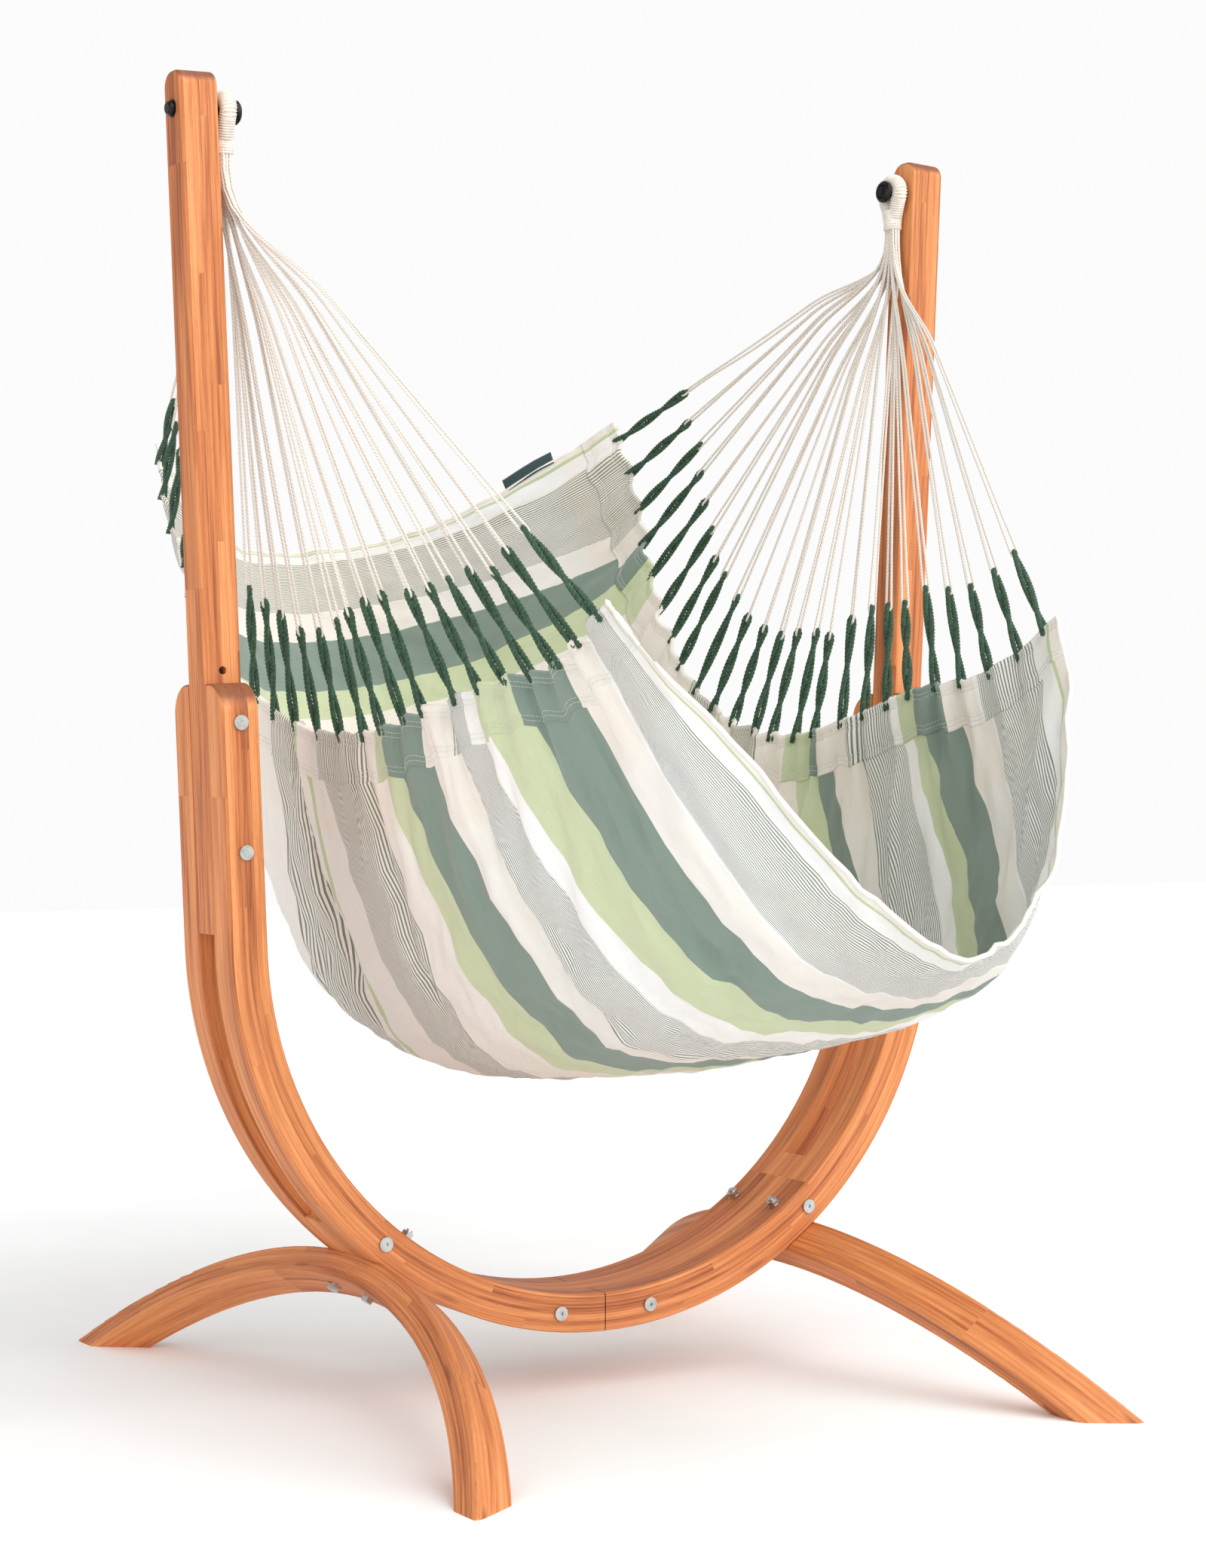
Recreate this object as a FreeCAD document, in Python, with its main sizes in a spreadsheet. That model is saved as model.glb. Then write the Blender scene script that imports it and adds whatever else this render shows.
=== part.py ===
import FreeCAD, Part
import math
import os

import Sketcher
from FreeCAD import Placement, Rotation, Vector

# Hammock hung from the two splayed posts of a laminated timber stand.
# X runs from post to post, Y from front to back, Z up. The floor is z = 0.

os.makedirs("parts", exist_ok=True)
doc = FreeCAD.newDocument("HammockOnStand")

# ---------------------------------------------------------------- driving sizes
sheet = doc.addObject("Spreadsheet::Sheet", "Sizes")
driving = {
    "timber": 60,          # side of the square posts, and beam width in the loop's plane
    "beamThick": 56,       # front-to-back thickness of a beam
    "loopRadius": 606,     # centreline radius of the loop under the hammock
    "loopLow": 120,        # height of the loop's lowest centreline point
    "lean": 2.6,           # outward splay of posts and beam tops, degrees
    "beamRise": 394,       # straight length of a beam above the loop's arc
    "postFoot": 26,        # post's lower end above the arc's end
    "postRise": 1290,      # post's top above the arc's end
    "edgeRound": 5,        # rounding of the long timber edges
    "topRound": 24,        # rounding of a post's top, front and back
    "beamTopRound": 44,    # rounding of a beam's top
    "seamGap": 1,          # each beam stops this short of the loop's lowest point
    "boltR": 5,            # M10 bolts
    "holeR": 5.5,
    "headR": 11,           # flat round heads and nuts
    "headThick": 4,
    "socketR": 3.5,        # hexagon socket, centre to corner
    "postBoltLow": 147,    # post bolts, above the arc's end
    "postBoltHigh": 336,
    "spareHoleAt": 413,
    "spareHoleR": 6,
    "bowHalf": 46.5,       # half angle of the centre bow
    "bowBoltInner": 7.7,   # bow bolts, degrees from the lowest point
    "bowBoltOuter": 39.3,
    "footTilt": 35.8,      # angle of each foot's plane round the loop
    "footRadius": 1000,    # upper face of a foot's arch
    "footSpread": 60,      # half angle of the bent arch before its ends are cut off
    "footThick": 46,
    "footReach": 696,      # ends blunted this far to the front and back
    "footWide": 68,
    "footSeat": 5,         # depth of the notch that takes the beams
    "washerR": 10,
    "washerThick": 2,
    "washerLift": 0.2,     # a flat washer stands off the beams' hollow inner face
    "hexR": 9.8,           # corner radius of a hexagon nut or head
    "hexThick": 8,
    "pinR": 6,
    "pinDrop": 55,         # pin below the post's top
    "pinHeadR": 11,
    "eyeR": 32,            # cord eye round the pin
    "eyeWide": 28,
    "eyeGap": 6,
    "eyeBoreR": 7,
    "neckR": 14,
    "neckDrop": 85,        # neck's lower end below the pin
    "discR": 18,
    "discThick": 8,
    "discGap": 2,          # disc's back stands off the eye
    "clothThick": 3,
    "cordR": 1.6,
    "ropeR": 6,
    "ropeLen": 180,
    "ropeTuck": 12,        # length of a rope loop inside the hem
    "ropeCount": 24,
    "labelWide": 72,
    "labelDeep": 26,
    "labelThick": 1.2,
    "labelLift": 4,        # label's foot above the middle of the cloth's back edge
    "labelShare": 0.79,    # label's place along the back edge, from the left
}
for row, (alias, value) in enumerate(driving.items(), start=1):
    sheet.set(f"A{row}", alias)
    sheet.set(f"B{row}", str(value))
    sheet.setAlias(f"B{row}", alias)
doc.recompute()


def size(alias):
    return float(getattr(sheet, alias))


def cell(formula):
    """Put the sheet's name before each alias of a formula."""
    words = sorted(driving, key=len, reverse=True)
    out = ""
    i = 0
    while i < len(formula):
        hit = next((w for w in words if formula.startswith(w, i)), None)
        if hit and (i == 0 or not formula[i - 1].isalnum()):
            out += "Sizes." + hit
            i += len(hit)
        else:
            out += formula[i]
            i += 1
    return out


timber = size("timber")
beamThick = size("beamThick")
loopRadius = size("loopRadius")
lean = math.radians(size("lean"))
loopCentre = size("loopLow") + loopRadius
arcEndX = loopRadius * math.cos(lean)
arcEndZ = loopCentre - loopRadius * math.sin(lean)
stackHalf = timber / 2 + beamThick
nodes = {}


def keep(name, obj):
    """Name a finished sub-part's object after its node."""
    obj.Label = name
    nodes[name] = obj
    return obj


def bind(obj, **sizes):
    """Bind properties of an object to formulas of the sheet's cells."""
    for prop, formula in sizes.items():
        obj.setExpression(prop, cell(formula))
    return obj


# ---------------------------------------------------------------- small helpers
def solid(kind, name, place=None, **sizes):
    obj = doc.addObject("Part::" + kind, name)
    bind(obj, **sizes)
    if place is not None:
        obj.Placement = place
    return obj


def cut(name, base, tool):
    obj = doc.addObject("Part::Cut", name)
    obj.Base = base
    obj.Tool = tool
    return obj


def fuse(name, shapes):
    obj = doc.addObject("Part::MultiFuse", name)
    obj.Shapes = shapes
    return obj


def group(name, links):
    obj = doc.addObject("Part::Compound", name)
    obj.Links = links
    return keep(name, obj)


def plane(body, role):
    return next(f for f in body.Origin.OriginFeatures if f.Role == role)


def sketchOn(body, name, role, offset=None):
    sketch = body.newObject("Sketcher::SketchObject", name)
    sketch.AttachmentSupport = [(plane(body, role), "")]
    sketch.MapMode = "FlatFace"
    if offset is not None:
        sketch.AttachmentOffset = offset
    return sketch


def dimension(sketch, formula, *constraint):
    """Add a sketch dimension and bind it to the sheet."""
    index = sketch.addConstraint(Sketcher.Constraint(*constraint))
    sketch.setExpression(f"Constraints[{index}]", cell(formula))


def circles(sketch, places, radius):
    """Circles of one bound radius at (x, y) places, each a pair of values."""
    for x, y in places:
        index = sketch.addGeometry(Part.Circle(Vector(x, y, 0), Vector(0, 0, 1), size(radius)))
        dimension(sketch, radius, "Radius", index, size(radius))
        sketch.addConstraint(Sketcher.Constraint("Block", index))


def pocketThrough(body, sketch, name, depth=400):
    """Cut a sketch through the body both ways."""
    doc.recompute()
    before = body.Shape.Volume
    pocket = body.newObject("PartDesign::Pocket", name)
    pocket.Profile = sketch
    pocket.Type = 0
    pocket.Midplane = True
    pocket.Length = depth
    doc.recompute()
    assert body.Shape.Volume < before - 1, name
    return pocket


def roundEdges(body, name, radius, wanted):
    """Fillet the edges of the body's tip that a test picks out."""
    doc.recompute()
    tip = body.Tip
    picked = [f"Edge{i}" for i, e in enumerate(tip.Shape.Edges, start=1) if wanted(e)]
    assert picked, name
    fillet = body.newObject("PartDesign::Fillet", name)
    fillet.Base = (tip, picked)
    bind(fillet, Radius=radius)
    doc.recompute()
    return fillet


def radial(side, degrees, reach, y):
    """Placement on the loop's radius at an angle, local Z pointing outward."""
    a = math.radians(degrees)
    out = Vector(side * math.sin(a), 0, -math.cos(a))
    base = Vector(0, y, loopCentre) + out * reach
    return Placement(base, Rotation(Vector(0, 0, 1), out))


def leaning(side, along):
    """Placement on a post's axis, local Z up along the splayed post."""
    base = Vector(side * (arcEndX + along * math.sin(lean)), 0, arcEndZ + along * math.cos(lean))
    return Placement(base, Rotation(Vector(0, 1, 0), side * size("lean")))


# ---------------------------------------------------------------- posts
def makePost(side, name):
    body = doc.addObject("PartDesign::Body", name)
    square = sketchOn(body, name + "Square", "XY_Plane")
    half = timber / 2
    corners = [Vector(-half, -half, 0), Vector(half, -half, 0), Vector(half, half, 0), Vector(-half, half, 0)]
    for i in range(4):
        square.addGeometry(Part.LineSegment(corners[i], corners[(i + 1) % 4]))
    for i in range(4):
        square.addConstraint(Sketcher.Constraint("Coincident", i, 2, (i + 1) % 4, 1))
    square.addConstraint(Sketcher.Constraint("Horizontal", 0))
    square.addConstraint(Sketcher.Constraint("Vertical", 1))
    square.addConstraint(Sketcher.Constraint("Horizontal", 2))
    square.addConstraint(Sketcher.Constraint("Vertical", 3))
    square.addConstraint(Sketcher.Constraint("Symmetric", 0, 1, 1, 2, -1, 1))
    dimension(square, "timber", "DistanceX", 0, 1, 0, 2, timber)
    dimension(square, "timber", "DistanceY", 1, 1, 1, 2, timber)
    square.setExpression("AttachmentOffset.Base.z", cell("postFoot * 1 mm"))
    pad = body.newObject("PartDesign::Pad", name + "Pad")
    pad.Profile = square
    bind(pad, Length="postRise - postFoot")
    doc.recompute()
    top = size("postRise")
    roundEdges(body, name + "Top", "topRound",
               lambda e: e.CenterOfMass.z > top - 1 and abs(e.CenterOfMass.x) < 1)
    roundEdges(body, name + "Edges", "edgeRound",
               lambda e: e.Length > top / 2 and abs(e.Vertexes[0].X) > half - 1)

    cross = sketchOn(body, name + "CrossHoles", "XZ_Plane")
    circles(cross, [(0, size("postBoltLow")), (0, size("postBoltHigh"))], "holeR")
    pocketThrough(body, cross, name + "CrossPocket")
    spare = sketchOn(body, name + "SpareHole", "XZ_Plane")
    circles(spare, [(0, size("spareHoleAt"))], "spareHoleR")
    pocketThrough(body, spare, name + "SparePocket")
    pin = sketchOn(body, name + "PinHole", "YZ_Plane")
    circles(pin, [(0, top - size("pinDrop"))], "pinR")
    pocketThrough(body, pin, name + "PinPocket")
    body.Placement = leaning(side, 0)
    keep(name, body)


# ---------------------------------------------------------------- beams
def beamOutline(sketch, side):
    """J outline in the loop's plane: quarter arc, then a straight splayed top."""
    half = timber / 2
    centre = Vector(0, loopCentre, 0)
    endAngle = -lean if side > 0 else math.pi + lean
    start = -math.pi / 2
    up = Vector(side * math.sin(lean), math.cos(lean), 0)
    rise = size("beamRise")
    ids = []
    tops = []
    for radius in (loopRadius + half, loopRadius - half):
        circle = Part.Circle(centre, Vector(0, 0, 1), radius)
        first, last = (start, endAngle) if side > 0 else (endAngle, start + 2 * math.pi)
        arc = Part.ArcOfCircle(circle, first, last)
        ids.append(sketch.addGeometry(arc))
        foot = centre + Vector(radius * math.cos(endAngle), radius * math.sin(endAngle), 0)
        tops.append(foot + up * rise)
        ids.append(sketch.addGeometry(Part.LineSegment(foot, foot + up * rise)))
    top = sketch.addGeometry(Part.LineSegment(tops[0], tops[1]))
    gap = size("seamGap")
    seam = sketch.addGeometry(Part.LineSegment(Vector(side * gap, loopCentre - loopRadius - half, 0),
                                               Vector(side * gap, loopCentre - loopRadius + half, 0)))
    outerArc, outerLine, innerArc, innerLine = ids
    low, high = (1, 2) if side > 0 else (2, 1)
    add = sketch.addConstraint
    add(Sketcher.Constraint("PointOnObject", outerArc, 3, -2))
    add(Sketcher.Constraint("Coincident", innerArc, 3, outerArc, 3))
    dimension(sketch, "loopLow + loopRadius", "DistanceY", -1, 1, outerArc, 3, loopCentre)
    dimension(sketch, "loopRadius + timber / 2", "Radius", outerArc, loopRadius + half)
    dimension(sketch, "loopRadius - timber / 2", "Radius", innerArc, loopRadius - half)
    add(Sketcher.Constraint("Coincident", seam, 1, outerArc, low))
    add(Sketcher.Constraint("Coincident", seam, 2, innerArc, low))
    add(Sketcher.Constraint("Vertical", seam))
    ends = (-1, 1, outerArc, low) if side > 0 else (outerArc, low, -1, 1)
    dimension(sketch, "seamGap", "DistanceX", *ends, gap)
    add(Sketcher.Constraint("Tangent", outerArc, high, outerLine, 1))
    add(Sketcher.Constraint("Tangent", innerArc, high, innerLine, 1))
    add(Sketcher.Constraint("Coincident", outerLine, 2, top, 1))
    add(Sketcher.Constraint("Coincident", innerLine, 2, top, 2))
    add(Sketcher.Constraint("Perpendicular", outerLine, top))
    dimension(sketch, "beamRise", "Distance", outerLine, rise)
    splay = "lean * 1 deg" if side < 0 else "-lean * 1 deg"
    dimension(sketch, splay, "Angle", -2, 1, outerLine, 1, -side * lean)


def makeBeam(side, face, name):
    """face is -1 for a front beam and +1 for a back beam."""
    body = doc.addObject("PartDesign::Body", name)
    outline = sketchOn(body, name + "Outline", "XZ_Plane")
    beamOutline(outline, side)
    pad = body.newObject("PartDesign::Pad", name + "Pad")
    pad.Profile = outline
    bind(pad, Length="beamThick")
    doc.recompute()
    outerY = -beamThick if face < 0 else 0.0
    topZ = arcEndZ + size("beamRise") * math.cos(lean)

    def topEdge(e):
        return e.CenterOfMass.z > topZ - 8 and abs(e.CenterOfMass.y - outerY) < 1 and e.Length > timber / 2

    roundEdges(body, name + "Top", "beamTopRound", topEdge)

    def outerEdge(e):
        onFace = all(abs(v.Y - outerY) < 0.5 for v in e.Vertexes)
        return onFace and e.Length > timber * 2

    roundEdges(body, name + "Edges", "edgeRound", outerEdge)

    holes = sketchOn(body, name + "BoltHoles", "XZ_Plane")
    places = []
    for along in (size("postBoltLow"), size("postBoltHigh")):
        places.append((side * (arcEndX + along * math.sin(lean)), arcEndZ + along * math.cos(lean)))
    for degrees in (size("bowBoltInner"), size("bowBoltOuter")):
        a = math.radians(degrees)
        places.append((side * loopRadius * math.sin(a), loopCentre - loopRadius * math.cos(a)))
    circles(holes, places, "holeR")
    pocketThrough(body, holes, name + "BoltPocket")
    through = radial(side, size("footTilt"), loopRadius, -beamThick / 2)
    footHole = sketchOn(body, name + "FootHole", "XY_Plane", through)
    circles(footHole, [(0, 0)], "holeR")
    pocketThrough(body, footHole, name + "FootPocket", 2 * timber)
    body.Placement = Placement(Vector(0, -timber / 2 if face < 0 else stackHalf, 0), Rotation())
    keep(name, body)


def makeBow():
    """Arc between the front and back beams, across the butt seam."""
    body = doc.addObject("PartDesign::Body", "centre_bow")
    sketch = sketchOn(body, "BowOutline", "XZ_Plane")
    half = timber / 2
    centre = Vector(0, loopCentre, 0)
    spread = math.radians(size("bowHalf"))
    down = -math.pi / 2
    ids = []
    for radius in (loopRadius + half, loopRadius - half):
        circle = Part.Circle(centre, Vector(0, 0, 1), radius)
        ids.append(sketch.addGeometry(Part.ArcOfCircle(circle, down - spread, down + spread)))
    for sign in (-1, 1):
        ray = Vector(math.cos(down + sign * spread), math.sin(down + sign * spread), 0)
        ids.append(sketch.addGeometry(Part.LineSegment(centre + ray * (loopRadius + half),
                                                       centre + ray * (loopRadius - half))))
    outer, inner, left, right = ids
    add = sketch.addConstraint
    add(Sketcher.Constraint("PointOnObject", outer, 3, -2))
    add(Sketcher.Constraint("Coincident", inner, 3, outer, 3))
    dimension(sketch, "loopLow + loopRadius", "DistanceY", -1, 1, outer, 3, loopCentre)
    dimension(sketch, "loopRadius + timber / 2", "Radius", outer, loopRadius + half)
    dimension(sketch, "loopRadius - timber / 2", "Radius", inner, loopRadius - half)
    for line, end in ((left, 1), (right, 2)):
        add(Sketcher.Constraint("Coincident", line, 1, outer, end))
        add(Sketcher.Constraint("Coincident", line, 2, inner, end))
        add(Sketcher.Constraint("PointOnObject", outer, 3, line))
    add(Sketcher.Constraint("Symmetric", outer, 1, outer, 2, -2))
    dimension(sketch, "2 * (loopRadius + timber / 2) * sin(bowHalf * 1 deg)",
              "DistanceX", outer, 1, outer, 2, 2 * (loopRadius + half) * math.sin(spread))
    pad = body.newObject("PartDesign::Pad", "BowPad")
    pad.Profile = sketch
    pad.Midplane = True
    bind(pad, Length="timber")
    holes = sketchOn(body, "BowHoles", "XZ_Plane")
    places = []
    for side in (-1, 1):
        for degrees in (size("bowBoltInner"), size("bowBoltOuter")):
            a = math.radians(degrees)
            places.append((side * loopRadius * math.sin(a), loopCentre - loopRadius * math.cos(a)))
    circles(holes, places, "holeR")
    pocketThrough(body, holes, "BowPocket")
    keep("centre_bow", body)


# ---------------------------------------------------------------- feet
def footHolePlaces():
    return [-(timber + beamThick) / 2, (timber + beamThick) / 2]


def archOutline(sketch):
    """Ring sector about the sketch's origin, its crown up along the sketch's Y."""
    outer = size("footRadius")
    inner = outer - size("footThick")
    spread = math.radians(size("footSpread"))
    ids = []
    for radius in (outer, inner):
        circle = Part.Circle(Vector(), Vector(0, 0, 1), radius)
        ids.append(sketch.addGeometry(Part.ArcOfCircle(circle, math.pi / 2 - spread, math.pi / 2 + spread)))
    for sign in (-1, 1):
        ray = Vector(-sign * math.sin(spread), math.cos(spread), 0)
        ids.append(sketch.addGeometry(Part.LineSegment(ray * outer, ray * inner)))
    outerArc, innerArc, right, left = ids
    add = sketch.addConstraint
    add(Sketcher.Constraint("Coincident", outerArc, 3, -1, 1))
    add(Sketcher.Constraint("Coincident", innerArc, 3, -1, 1))
    dimension(sketch, "footRadius", "Radius", outerArc, outer)
    dimension(sketch, "footRadius - footThick", "Radius", innerArc, inner)
    for line, end in ((right, 1), (left, 2)):
        add(Sketcher.Constraint("Coincident", line, 1, outerArc, end))
        add(Sketcher.Constraint("Coincident", line, 2, innerArc, end))
        add(Sketcher.Constraint("PointOnObject", outerArc, 3, line))
    add(Sketcher.Constraint("Symmetric", outerArc, 1, outerArc, 2, -2))
    dimension(sketch, "2 * footRadius * sin(footSpread * 1 deg)",
              "DistanceX", outerArc, 2, outerArc, 1, 2 * outer * math.sin(spread))


def makeFoot(side, name):
    """Laminated arch from front to back, its plane tilted round the loop, cut off at the floor."""
    body = doc.addObject("PartDesign::Body", name + "Arch")
    outline = sketchOn(body, name + "Outline", "XY_Plane")
    archOutline(outline)
    pad = body.newObject("PartDesign::Pad", name + "Pad")
    pad.Profile = outline
    pad.Midplane = True
    bind(pad, Length="footWide")
    inner = size("footRadius") - size("footThick")
    roundEdges(body, name + "Edges", "edgeRound",
               lambda e: e.Length > inner and abs(e.Vertexes[0].Z) > size("footWide") / 2 - 1)
    a = math.radians(size("footTilt"))
    across = Vector(side * math.cos(a), 0, math.sin(a))
    upward = Vector(-side * math.sin(a), 0, math.cos(a))
    seatReach = loopRadius + timber / 2 - size("footSeat")
    centre = Vector(0, 0, loopCentre) - upward * (seatReach + size("footRadius"))
    body.Placement = Placement(centre, Rotation(upward.cross(across), upward, across, "ZXY"))
    floorBox = doc.addObject("Part::Box", name + "AboveFloor")
    bind(floorBox, Length="2 * footRadius", Width="2 * footReach", Height="loopRadius")
    floorBox.Placement = Placement(Vector(centre.x - size("footRadius"), -size("footReach"), 0), Rotation())
    arch = doc.addObject("Part::Common", name + "Standing")
    arch.Base = body
    arch.Tool = floorBox
    stack = Placement(Vector(0, stackHalf, loopCentre), Rotation(Vector(1, 0, 0), 90))
    tools = [solid("Cylinder", name + "SeatTool", stack, Radius="loopRadius + timber / 2",
                   Height="timber + 2 * beamThick")]
    for i, y in enumerate(footHolePlaces()):
        start = radial(side, size("footTilt"), loopRadius, y)
        tools.append(solid("Cylinder", f"{name}Hole{i}", start, Radius="holeR", Height="footRadius / 5"))
        start = radial(side, size("footTilt"), footUnder(y), y)
        tools.append(solid("Cylinder", f"{name}SpotFace{i}", start, Radius="washerR + 2", Height="timber"))
    keep(name, cut(name, arch, fuse(name + "Tools", tools)))


def footUnder(y):
    """Distance from the loop's centre to the flat spot face under a foot at y."""
    inner = size("footRadius") - size("footThick")
    crown = loopRadius + timber / 2 - size("footSeat") + size("footThick")
    return crown + inner - math.sqrt(inner ** 2 - (abs(y) - size("washerR")) ** 2)


# ---------------------------------------------------------------- fasteners
def flatHead(name, place):
    """Flat round head with a hexagon socket, standing up local Z."""
    head = solid("Cylinder", name + "Disc", place, Radius="headR", Height="headThick")
    socket = doc.addObject("Part::Prism", name + "Socket")
    bind(socket, Circumradius="socketR", Height="headThick")
    socket.Placement = place.multiply(Placement(Vector(0, 0, size("headThick") / 3), Rotation()))
    return cut(name, head, socket)


def crossBolts(name, points):
    """Bolts through the stack from front to back, with round nuts behind."""
    bolts = []
    nuts = []
    for i, (x, z) in enumerate(points):
        front = Placement(Vector(x, -stackHalf, z), Rotation(Vector(1, 0, 0), 90))
        back = Placement(Vector(x, stackHalf, z), Rotation(Vector(1, 0, 0), -90))
        along = Placement(Vector(x, stackHalf, z), Rotation(Vector(1, 0, 0), 90))
        shaft = solid("Cylinder", f"{name}Shaft{i}", along, Radius="boltR", Height="timber + 2 * beamThick")
        bolts.append(fuse(f"{name}Bolt{i}", [flatHead(f"{name}Head{i}", front), shaft]))
        nuts.append(flatHead(f"{name}Nut{i}", back))
    group(name + "_bolts", bolts)
    group(name + "_nuts", nuts)


def hexBlock(name, place):
    block = doc.addObject("Part::Prism", name)
    bind(block, Circumradius="hexR", Height="hexThick")
    block.Placement = place
    return block


def footBolts(side, name):
    """Bolts up through a foot and a beam: head below, nut on the beam's inner face."""
    innerFace = loopRadius - timber / 2 - size("washerLift")
    bolts = []
    nuts = []
    washers = []
    for i, y in enumerate(footHolePlaces()):
        tilt = size("footTilt")
        under = footUnder(y)
        thick = size("washerThick")
        head = hexBlock(f"{name}Head{i}", radial(side, tilt, under + thick, y))
        start = radial(side, tilt, innerFace - thick - size("hexThick") - 4, y)
        shaft = solid("Cylinder", f"{name}Shaft{i}", start, Radius="boltR")
        shaft.Height = under + 2 * thick + size("hexThick") + 4 - innerFace
        bolts.append(fuse(f"{name}Bolt{i}", [head, shaft]))
        block = hexBlock(f"{name}NutBlock{i}", radial(side, tilt, innerFace - thick - size("hexThick"), y))
        thread = solid("Cylinder", f"{name}Thread{i}", start, Radius="boltR", Height="timber")
        nuts.append(cut(f"{name}Nut{i}", block, thread))
        for j, at in enumerate((innerFace - thick, under)):
            disc = solid("Cylinder", f"{name}Washer{i}{j}", radial(side, tilt, at, y),
                         Radius="washerR", Height="washerThick")
            bore = solid("Cylinder", f"{name}WasherBore{i}{j}", radial(side, tilt, at, y),
                         Radius="boltR", Height="washerThick")
            washers.append(cut(f"{name}WasherRing{i}{j}", disc, bore))
    group(name + "_foot_bolts", bolts)
    group(name + "_foot_nuts", nuts)
    group(name + "_foot_washers", washers)


# ---------------------------------------------------------------- pins and eyes
pinAlong = size("postRise") - size("pinDrop")
pinZ = arcEndZ + pinAlong * math.cos(lean)
postAtPin = arcEndX + pinAlong * math.sin(lean)


def inward(side, reach):
    """Placement on a pin's axis, local Z toward the hammock, reach from the post's axis."""
    axis = Vector(-side * math.cos(lean), 0, math.sin(lean))
    base = Vector(side * postAtPin, 0, pinZ) + axis * reach
    return Placement(base, Rotation(Vector(0, 0, 1), axis))


# The hammock turns about the line through the middles of the two eyes.
eyeAt = inward(1, timber / 2 + size("eyeGap") + size("eyeWide") / 2).Base
eyeX = eyeAt.x
eyeZ = eyeAt.z


def makePin(side, name):
    """Dome-headed bolt through a post's top, and the washer under its head."""
    half = timber / 2
    thin = size("washerThick")
    domeHigh = 0.7 * size("pinHeadR")
    inner = half + size("eyeGap") + size("eyeWide") + size("discGap")
    under = inward(side, -half - thin)
    shaft = solid("Cylinder", name + "Shaft", under, Radius="pinR")
    shaft.Height = half + thin + inner + size("discThick") + 1
    ball = solid("Sphere", name + "Ball", under, Radius="pinHeadR")
    outside = solid("Cylinder", name + "Outside", inward(side, -half - thin - domeHigh), Radius="pinHeadR")
    outside.Height = domeHigh
    dome = doc.addObject("Part::Common", name + "Dome")
    dome.Base = ball
    dome.Tool = outside
    keep(name + "_pin", fuse(name + "_pin", [shaft, dome]))
    ring = solid("Cylinder", name + "WasherDisc", under, Radius="washerR + 3", Height="washerThick")
    bore = solid("Cylinder", name + "WasherHole", under, Radius="pinR", Height="washerThick")
    keep(name + "_pin_washer", cut(name + "_pin_washer", ring, bore))


def makeDisc(side, name):
    """Turned disc with a groove in its face, on the pin's inner end."""
    body = doc.addObject("PartDesign::Body", name)
    profile = sketchOn(body, name + "Profile", "XZ_Plane")
    bore, rim, deep = size("pinR"), size("discR"), size("discThick")
    corners = [(bore, 0), (rim, 0), (rim, deep - 3), (rim - 3, deep), (rim - 6, deep), (rim - 7.5, deep - 2),
               (rim - 9, deep), (bore, deep)]
    count = len(corners)
    for i in range(count):
        start, end = corners[i], corners[(i + 1) % count]
        profile.addGeometry(Part.LineSegment(Vector(*start, 0), Vector(*end, 0)))
    for i in range(count):
        profile.addConstraint(Sketcher.Constraint("Coincident", i, 2, (i + 1) % count, 1))
    for i in (0, 3, 6):
        profile.addConstraint(Sketcher.Constraint("Horizontal", i))
    for i in (1, 7):
        profile.addConstraint(Sketcher.Constraint("Vertical", i))
    dimension(profile, "pinR", "DistanceX", -1, 1, 0, 1, bore)
    dimension(profile, "discR", "DistanceX", -1, 1, 0, 2, rim)
    dimension(profile, "discThick", "DistanceY", 0, 2, 2, 2, deep)
    turned = body.newObject("PartDesign::Revolution", name + "Turned")
    turned.Profile = profile
    turned.ReferenceAxis = (profile, ["V_Axis"])
    turned.Angle = 360
    doc.recompute()
    body.Placement = inward(side, timber / 2 + size("eyeGap") + size("eyeWide") + size("discGap"))
    keep(name, body)


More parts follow.
